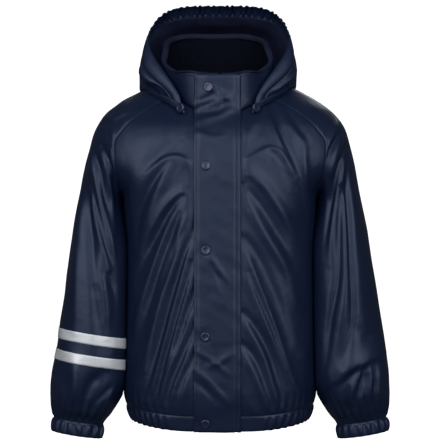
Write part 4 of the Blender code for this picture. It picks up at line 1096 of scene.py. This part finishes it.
lining_rows.append((1, COLLAR_RIM + 3 * SEAM_GAP, behind))
lining = collar_sheet(lining_rows)
lining = cloth_wall("collar_lining_cloth", lining, "collar_lining", CLOTH, fleece)


# Storm flap: a double strip of the coated cloth, sewn on beside the zip and folded over it. It runs from
# the hem to the collar's top edge, stitched along both long edges, and closes with five snaps.

FLAP_CLOTH = 0.0020
LAID_ON = 0.0008
FLAP_SOFT_ROUNDS = 12
SNAP_PULL = 0.0009  # how far a snap draws the flap in, over the next 10 mm
SNAP_PULL_REACH = 0.010
STITCH_GROOVE = 0.0013  # as deep as it is wide
FLAP_EDGE_DIP = 0.0012
FLAP_EDGE_REACH = 0.0014
FLAP_STITCHES = (FLAP_LEFT_EDGE - 0.0060, FLAP_RIGHT_EDGE + 0.0032)
Snap = namedtuple("Snap", "x height")
FLAP_SNAPS = [
    Snap(-0.0155, 0.006),
    Snap(-0.0190, -0.102),
    Snap(-0.0190, -0.216),
    Snap(-0.0198, -0.332),
    Snap(-0.0198, -0.450),
]
FLAP_FOLDS = [
    Fold("front", [(-28, -352), (-12, -362), (2, -374), (14, -384)], 1.5, 2.6, 3.5),
    Fold("front", [(-32, -376), (-14, -392), (2, -410), (14, -424)], 1.6, 2.6, 4),
    Fold("front", [(-32, -392), (-16, -406), (-4, -420)], -1.6, 2.6, 2.6),
    Fold("front", [(-14, -372), (4, -364), (20, -350)], 1.5, 4, 3),
    Fold("front", [(-16, -222), (-4, -240), (10, -256)], 2.2, 3, 3),
    Fold("front", [(-12, -230), (-2, -250), (4, -268)], -1.6, 2.6, 2.6),
    Fold("front", [(-32, -26), (-8, -18), (16, -4)], 2.6, 4, 4),
    Fold("front", [(-28, -42), (-2, -36), (20, -22)], 2.2, 4, 4),
    Fold("front", [(-10, 4), (8, -8), (20, -16)], 2.2, 4, 4),
    Fold("front", [(-30, -14), (-14, -8), (2, 6)], -1.8, 3.5, 3.5),
    Fold("front", [(-30, -58), (-10, -66), (8, -62)], 1.4, 4, 4),
]


def surface_tree(sheets):
    """Sheets as one surface that a ray can find."""
    points, faces = [], []
    for sheet in sheets:
        first, columns = len(points), sheet.shape[1]
        points += [tuple(point) for point in sheet.reshape(-1, 3)]
        for row in range(sheet.shape[0] - 1):
            for column in range(columns - 1):
                corner = first + row * columns + column
                faces.append((corner, corner + 1, corner + columns + 1, corner + columns))
    return BVHTree.FromPolygons(points, faces)


# The flap lies on the fronts, the hem casing and the collar, and bridges the hollows between them.
under_flap = [front_left, mirrored(front_left), hem_skin(241, np.linspace(0, 1, 5)), collar[:20]]
flat_fronts = surface_tree(under_flap)
flap_top = FRONT_NECK + COLLAR[0].rise - COLLAR_THICKNESS / 2
columns = FLAP_RIGHT_EDGE + (FLAP_LEFT_EDGE - FLAP_RIGHT_EDGE) * crowded(26, 0.03)
heights = HEM_EDGE + (flap_top - HEM_EDGE) * crowded(190, 0.005)
flap = np.zeros((len(heights), len(columns), 3))
for i, height in enumerate(heights):
    for j, x in enumerate(columns):
        start = Vector((x, -0.5, np.clip(height, HEM_EDGE + 1e-4, flap_top - 1e-4)))
        hit = flat_fronts.ray_cast(start, Vector((0, 1, 0)))[0]
        flap[i, j] = (x, hit.y, height) if hit else flap[i - 1, j] * (1, 1, 0) + (0, 0, height)
for _ in range(FLAP_SOFT_ROUNDS):
    flap[1:-1, :, 1] = np.minimum(flap[1:-1, :, 1], (flap[:-2, :, 1] + flap[2:, :, 1]) / 2)
    flap[1:-1, :, 1] = (flap[:-2, :, 1] + 2 * flap[1:-1, :, 1] + flap[2:, :, 1]) / 4
out = own_normals(flap)
lift = LAID_ON + FLAP_CLOTH + sum(fold_lift(flap, out, FLAP_FOLDS))
lift = lift + 0.0007 * ripple(flap, FROM_FRONT, (0.9, -0.5), along=0.030, spread=0.016, seed=41.0)
for snap in FLAP_SNAPS:
    off = np.hypot(flap[..., 0] - snap.x, flap[..., 2] - snap.height)
    lift -= SNAP_PULL * fading(off, SNAP_PULL_REACH)
for x in FLAP_STITCHES:
    lift -= STITCH_GROOVE * fading(flap[..., 0] - x, STITCH_GROOVE)
lift -= FLAP_EDGE_DIP * fading(seam_distance(flap), FLAP_EDGE_REACH)
flap = flap + out * lift[..., None]
flap_cloth = cloth_wall("storm_flap_cloth", flap, "storm_flap", FLAP_CLOTH)


flap_tree = surface_tree([flap])


def on_flap(x, height):
    """A point of the flap's face and the normal there, seen from in front."""
    hit, out = flap_tree.ray_cast(Vector((x, -0.5, height)), Vector((0, 1, 0)))[:2]
    return hit, out if out.y < 0 else -out


heights = np.linspace(HEM_EDGE + 0.003, flap_top - 0.003, 240)
rows = [np.array([np.concatenate(on_flap(x, height)) for height in heights]) for x in FLAP_STITCHES]
stitches("storm_flap_stitches", rows)


# Snap fasteners: pressed steel caps, lacquered navy, with a shallow dish inside a rolled rim. Each is
# clenched through the cloth, which it draws in a little.

SNAP_RADIUS = 0.0067
SNAP_HEIGHT = 0.0027
SNAP_PROFILE = [
    (0.00, 0.78), (0.30, 0.81), (0.55, 0.90), (0.72, 1.00), (0.84, 0.97),
    (0.94, 0.80), (0.99, 0.55), (1.00, 0.28), (0.97, 0.05), (0.90, 0.0), (0.0, 0.0),
]
SNAP_SUNK = 0.0002
ORANGE_PEEL = 0.00111  # lacquer dries with faint dimples about 1 mm apart
lacquered_metal, place = new_material("lacquered_steel")
dimples = node(lacquered_metal, "ShaderNodeTexNoise", Vector=place, Scale=1 / ORANGE_PEEL, Detail=2.0)
dimples = dimples.outputs["Fac"]
paint = node(
    lacquered_metal, "ShaderNodeMix", {"data_type": "RGBA"},
    Factor=dimples, A=colour("#1f2744"), B=colour("#2a3354"),
)
dull = node(lacquered_metal, "ShaderNodeMapRange", Value=dimples, **{"To Min": 0.26, "To Max": 0.40})
peel = node(lacquered_metal, "ShaderNodeBump", Height=dimples, Strength=0.08, Distance=0.0002)
feed(lacquered_metal, "Principled BSDF", {
    "Base Color": paint.outputs["Result"],
    "Roughness": dull.outputs["Result"],
    "Normal": peel.outputs["Normal"],
    "Metallic": 0.40,
    "Coat Weight": 0.6,
    "Coat Roughness": 0.12,
})


def snap_cap(node_name, place, direction):
    """A cap that faces in a direction, its foot sunk a little into the cloth at its place."""
    cap = bmesh.new()
    profile = [(SNAP_RADIUS * radius, 0, SNAP_HEIGHT * height) for radius, height in SNAP_PROFILE]
    points = [cap.verts.new(point) for point in profile]
    edges = [cap.edges.new(pair) for pair in zip(points, points[1:])]
    bmesh.ops.spin(
        cap, geom=points + edges, cent=(0, 0, 0), axis=(0, 0, 1), angle=math.tau, steps=40, use_merge=True
    )
    bmesh.ops.remove_doubles(cap, verts=cap.verts[:], dist=1e-6)
    bmesh.ops.recalc_face_normals(cap, faces=cap.faces[:])
    turned = Vector(direction).to_track_quat("Z", "Y").to_matrix().to_4x4()
    bmesh.ops.transform(cap, matrix=turned, verts=cap.verts[:])
    bmesh.ops.translate(cap, vec=Vector(place) - Vector(direction) * SNAP_SUNK, verts=cap.verts[:])
    made = placed(node_name + "_cap", cap, lacquered_metal)
    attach(made, "root")
    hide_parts(node_name)


for number, snap in enumerate(FLAP_SNAPS, start=1):
    snap_cap(f"snap_{number}", *on_flap(snap.x, snap.height))


# Hood: two side panels and a crown panel between them, unlined, so that the knit's matt back shows inside.
# Its colour there is lightened: painted light, for the shade that fills the hood.
# Its face edge is a casing over elastic, drawn up into ruffles over the crown.

Arch = namedtuple("Arch", "place foot_x foot_y top_y top_z half_width corner flare shift")
HOOD = [
    Arch(0.00, 0.0475, -0.070, 0.046, 0.1305, 0.1050, 4.3, 0.75, -0.0025),
    Arch(0.09, 0.0600, -0.059, 0.059, 0.1150, 0.1080, 4.0, 0.50, -0.0030),
    Arch(0.18, 0.0740, -0.046, 0.077, 0.1080, 0.1110, 3.7, 0.36, -0.0030),
    Arch(0.30, 0.0930, -0.027, 0.102, 0.1030, 0.1120, 3.3, 0.32, -0.0030),
    Arch(0.46, 0.1100, 0.005, 0.132, 0.0910, 0.1120, 2.9, 0.24, -0.0030),
    Arch(0.60, 0.1080, 0.034, 0.156, 0.0650, 0.1090, 2.7, 0.20, -0.0030),
    Arch(0.73, 0.0980, 0.058, 0.163, 0.0300, 0.1010, 2.6, 0.14, -0.0030),
    Arch(0.84, 0.0840, 0.071, 0.150, 0.0000, 0.0900, 2.5, 0.30, 0.0000),
    Arch(0.93, 0.0690, 0.075, 0.118, -0.0060, 0.0740, 2.4, 0.35, 0.0000),
    Arch(1.00, 0.0600, 0.066, 0.066, 0.0300, 0.0620, 2.2, 0.30, 0.0000),
]
HOOD_FOLDS = [
    Fold("front", [(-108, 60), (-95, 41), (-84, 26)], -3.2, 6, 6),
    Fold("front", [(-111, 37), (-92, 22), (-66, 10)], 3.4, 6, 7),
    Fold("front", [(-106, 10), (-84, 8), (-62, 0)], -2.6, 4, 4),
    Fold("front", [(-104, 92), (-107, 70), (-104, 50)], 2.4, 6, 8),
    Fold("front", [(95, 78), (99, 48), (82, 27), (60, 9)], 2.8, 7, 5),
    Fold("front", [(102, 62), (105, 38), (88, 20)], -3.0, 5, 5),
    Fold("front", [(106, 26), (88, 9), (66, -2)], 3.0, 6, 5),
    Fold("side", [(96, 96), (120, 60), (128, 20)], 3.0, 12, 10),
    Fold("side", [(20, 70), (60, 40), (104, 8)], -3.0, 10, 12),
]
HOOD_CLEARANCE = 0.0012
CASING_SHARE = 0.085
CROWN_HALF_WIDTH = 0.036
RUFFLE_PITCH = 0.0095
RUFFLE = 0.0022
RUFFLE_PUFF = 0.0016

shoulders = surface_tree([sleeve_left, front_left, skins["back"]])


def hood_arch(place, seams):
    """An arch of the hood at places among its seams: its feet are 0 and 3, and the crown lies from 1 to 2."""
    row = {name: float(read(HOOD, name, place, key="place")) for name in Arch._fields[1:]}
    angle = np.linspace(0, math.pi / 2, 90)
    up, out = np.sin(angle) ** (2 / row["corner"]), np.cos(angle) ** (2 / row["corner"])
    halves = []
    for side in (-1, 1):
        foot_x = row["foot_x"] + side * row["shift"]
        ground = shoulders.ray_cast(Vector((foot_x, row["foot_y"], 0.1)), Vector((0, 0, -1)))[0].z
        foot_z = ground + HOOD_CLEARANCE
        x = row["foot_x"] + (row["half_width"] * out - row["foot_x"]) * eased(up / row["flare"])
        x = side * x + row["shift"] * (1 - up**3)
        y = row["foot_y"] + (row["top_y"] - row["foot_y"]) * up**1.5
        halves.append(np.stack([x, y, foot_z + (row["top_z"] - foot_z) * up], axis=-1))
    line = np.concatenate([halves[0], halves[1][-2::-1]])
    along = lengths_along(line)
    crown = CROWN_HALF_WIDTH / along[-1]
    wanted = np.interp(seams, [0, 1, 2, 3], [0, 0.5 - crown, 0.5 + crown, 1]) * along[-1]
    return read_along(line, along, wanted)


places = CASING_SHARE + (1 - CASING_SHARE) * crowded(64, 0.015)
hood = {
    "hood_side_right": np.stack([hood_arch(place, crowded(64, 0.02)) for place in places]),
    "hood_crown": np.stack([hood_arch(place, 1 + crowded(32, 0.03)) for place in places]),
    "hood_side_left": np.stack([hood_arch(place, 2 + crowded(64, 0.02)) for place in places]),
}
hood_normals = normals_of(hood)
for name, sheet in hood.items():
    dents = 0.0028 * ripple(sheet, FROM_SIDE, (-0.5, 1.0), along=0.090, spread=0.038, seed=43.0)
    dents += 0.0012 * ripple(sheet, FROM_ABOVE, (0.2, 1.0), along=0.050, spread=0.022, seed=47.0)
    dents += sum(fold_lift(sheet, hood_normals[name], HOOD_FOLDS))
    low = eased((0.050 - sheet[..., 2]) / 0.040)
    dents += 0.0014 * low * ripple(sheet, FROM_SIDE, (0.9, 0.4), along=0.040, spread=0.012, seed=51.0)
    lift = dents * eased(seam_distance(sheet) / 0.012) + seam_dip(sheet)
    hood[name] = sheet + hood_normals[name] * lift[..., None]
    panel = cloth_wall(name + "_cloth", hood[name], name)
    # the inside takes the lightened knit: painted light in the hood's shade
    panel.data.materials.append(knit_back_painted_light)
    panel.modifiers["thickness"].material_offset = 1
crown, out = hood["hood_crown"], own_normals(hood["hood_crown"])
seams = [line_beside_edge(crown[:, ::way], out[:, ::way], STITCH_INSET) for way in (1, -1)]
stitches("hood_crown_stitches", seams)
stitches("hood_crown_inner_stitches", seams, -CLOTH)

seams = np.linspace(0, 3, 561)
up = crowded(12, 0.05)
casing = np.stack([hood_arch(place, seams) for place in CASING_SHARE * up])
off_feet = eased((seams - 0.50) / 0.30) * eased((2.50 - seams) / 0.30)
ruffles = 0.65 * gathers(casing, RUFFLE_PITCH, 53.0, wander=1.0)
ruffles += 0.5 * gathers(casing, 0.7 * RUFFLE_PITCH, 57.0, wander=1.4)
ruffles *= RUFFLE * off_feet * (1 - eased((up - 0.70) / 0.30))[:, None]
ruffles += RUFFLE_PUFF * np.sin(math.pi * up)[:, None] + seam_dip(casing)
casing = casing + own_normals(casing) * ruffles[..., None]
hood_casing = cloth_wall("hood_casing_cloth", casing, "hood_casing")
rows = [line_beside_edge(*from_top(casing), distance) for distance in (0.0015, 0.0045)]
stitches("hood_casing_stitches", rows)
stitches("hood_casing_inner_stitches", rows, -CLOTH)


# Hood tabs: a turned strip runs along each lower front edge of the hood and ends in a rounded tab, which a
# snap holds to the collar's foot.

TAB_WIDTH = 0.014
TAB_CLOTH = 0.0016
TAB_END = -0.030  # along the hood's foot, as an arch's place: past the face edge
TAB_START = 0.30
TAB_END_FLAT = 0.0012
TAB_CLEARANCE = 0.0022
TAB_EDGE_DIP = 0.0008


def tab_sheet(foot):
    """A strip up one foot of the hood (seam 0 or 3), run past the face edge and rounded at its end."""
    upwards = np.linspace(foot, 1.5, 240)
    edge, behind_edge = hood_arch(0, upwards), hood_arch(0.05, upwards)
    lines = [edge + (edge - behind_edge) * (-place / 0.05) for place in np.linspace(TAB_END, -0.001, 12)]
    lines += [hood_arch(place, upwards) for place in np.linspace(0.004, TAB_START, 60)]
    radius = TAB_WIDTH / 2
    columns, travelled = [], TAB_END_FLAT
    for line, before in zip(lines, [lines[0]] + lines):
        travelled += np.linalg.norm(line[0] - before[0])
        narrowing = radius - math.sqrt(radius**2 - max(radius - travelled, 0) ** 2)
        wanted = narrowing + (TAB_WIDTH - 2 * narrowing) * crowded(9, 0.08)
        columns.append(read_along(line, lengths_along(line), wanted))
    return np.stack(columns if foot == 3 else columns[::-1], axis=1)


for side, foot, snap_column in (("right", 0, -12), ("left", 3, 11)):
    strip = tab_sheet(foot)
    out = own_normals(strip)
    lift = SEAM_GAP + TAB_CLOTH + TAB_CLEARANCE - TAB_EDGE_DIP * fading(seam_distance(strip), 0.0012)
    strip = strip + out * lift[..., None]
    tab = cloth_wall(f"hood_tab_{side}_cloth", strip, f"hood_tab_{side}", TAB_CLOTH)
    middle = strip.shape[0] // 2
    snap_cap(f"hood_snap_{side}", strip[middle, snap_column], Vector(out[middle, snap_column]).normalized())


# Studio: white paper, lit from behind, that curves up from the floor, and soft lights in front of the coat
# and behind it. The coat hangs clear of the floor.

FLOOR = -0.640
CURVE_START = 3.0
CURVE_RADIUS = 0.8
PAPER_FRONT = -5.0
PAPER_TOP = 4.0
PAPER_WIDTH = 9.0
profile = [(PAPER_FRONT, FLOOR), (CURVE_START, FLOOR)]
for angle in np.linspace(0.1, math.pi / 2, 12):
    back, up = CURVE_RADIUS * math.sin(angle), CURVE_RADIUS * (1 - math.cos(angle))
    profile.append((CURVE_START + back, FLOOR + up))
profile.append((CURVE_START + CURVE_RADIUS, PAPER_TOP))
sweep = bmesh.new()
line = [sweep.verts.new((-PAPER_WIDTH / 2, y, z)) for y, z in profile]
edges = [sweep.edges.new(pair) for pair in zip(line, line[1:])]
extruded = bmesh.ops.extrude_edge_only(sweep, edges=edges)["geom"]
far_side = [part for part in extruded if isinstance(part, bmesh.types.BMVert)]
bmesh.ops.translate(sweep, vec=(PAPER_WIDTH, 0, 0), verts=far_side)
paper = bpy.data.materials.new("backdrop_paper")
paper.use_nodes = True
feed(paper, "Principled BSDF", {
    "Base Color": colour("#f4f4f4"),
    "Roughness": 0.9,
    "Emission Color": colour("#ffffff"),
    "Emission Strength": 1.0,
})
backdrop = placed("backdrop", sweep, paper)
backdrop.visible_glossy = False
backdrop.visible_diffuse = False

AMBIENT = 0.05  # the world is white to the camera and lights the coat only this faintly
world = bpy.data.worlds.new("studio")
world.use_nodes = True
seen = node(world, "ShaderNodeLightPath").outputs["Is Camera Ray"]
bright = node(world, "ShaderNodeMapRange", Value=seen, **{"To Min": AMBIENT})
feed(world, "Background", {"Color": colour("#ffffff"), "Strength": bright.outputs["Result"]})
bpy.context.scene.world = world
bpy.context.scene.view_settings.view_transform = "Standard"

LAMP_TINT = (0.93, 0.97, 1.0)
Light = namedtuple("Light", "name place target width height power")
for row in [
    Light("key_left", (-1.3, -2.0, 0.75), (0, 0, -0.15), 1.8, 2.8, 37.0),
    Light("key_right", (1.3, -2.0, 0.75), (0, 0, -0.15), 1.8, 2.8, 34.0),
    Light("front", (0.0, -2.7, 0.35), (0, 0, -0.10), 1.2, 1.2, 3.0),
    Light("back", (0.3, 2.4, 1.30), (0, 0, -0.20), 1.6, 1.0, 14.0),
]:
    lamp = bpy.data.lights.new(row.name, "AREA")
    lamp.shape, lamp.size, lamp.size_y, lamp.energy = "RECTANGLE", row.width, row.height, row.power
    lamp.color = LAMP_TINT
    light = bpy.data.objects.new(row.name, lamp)
    light.location = row.place
    light.rotation_euler = (Vector(row.target) - Vector(row.place)).to_track_quat("-Z", "Y").to_euler()
    bpy.context.scene.collection.objects.link(light)

camera_data = bpy.data.cameras.new("camera")
camera_data.lens, camera_data.sensor_width = 152.0, 36.0
camera = bpy.data.objects.new("camera", camera_data)
camera.location = (0, -2.6, -0.175)
camera.rotation_euler = (math.radians(90), 0, 0)
bpy.context.scene.collection.objects.link(camera)
bpy.context.scene.camera = camera
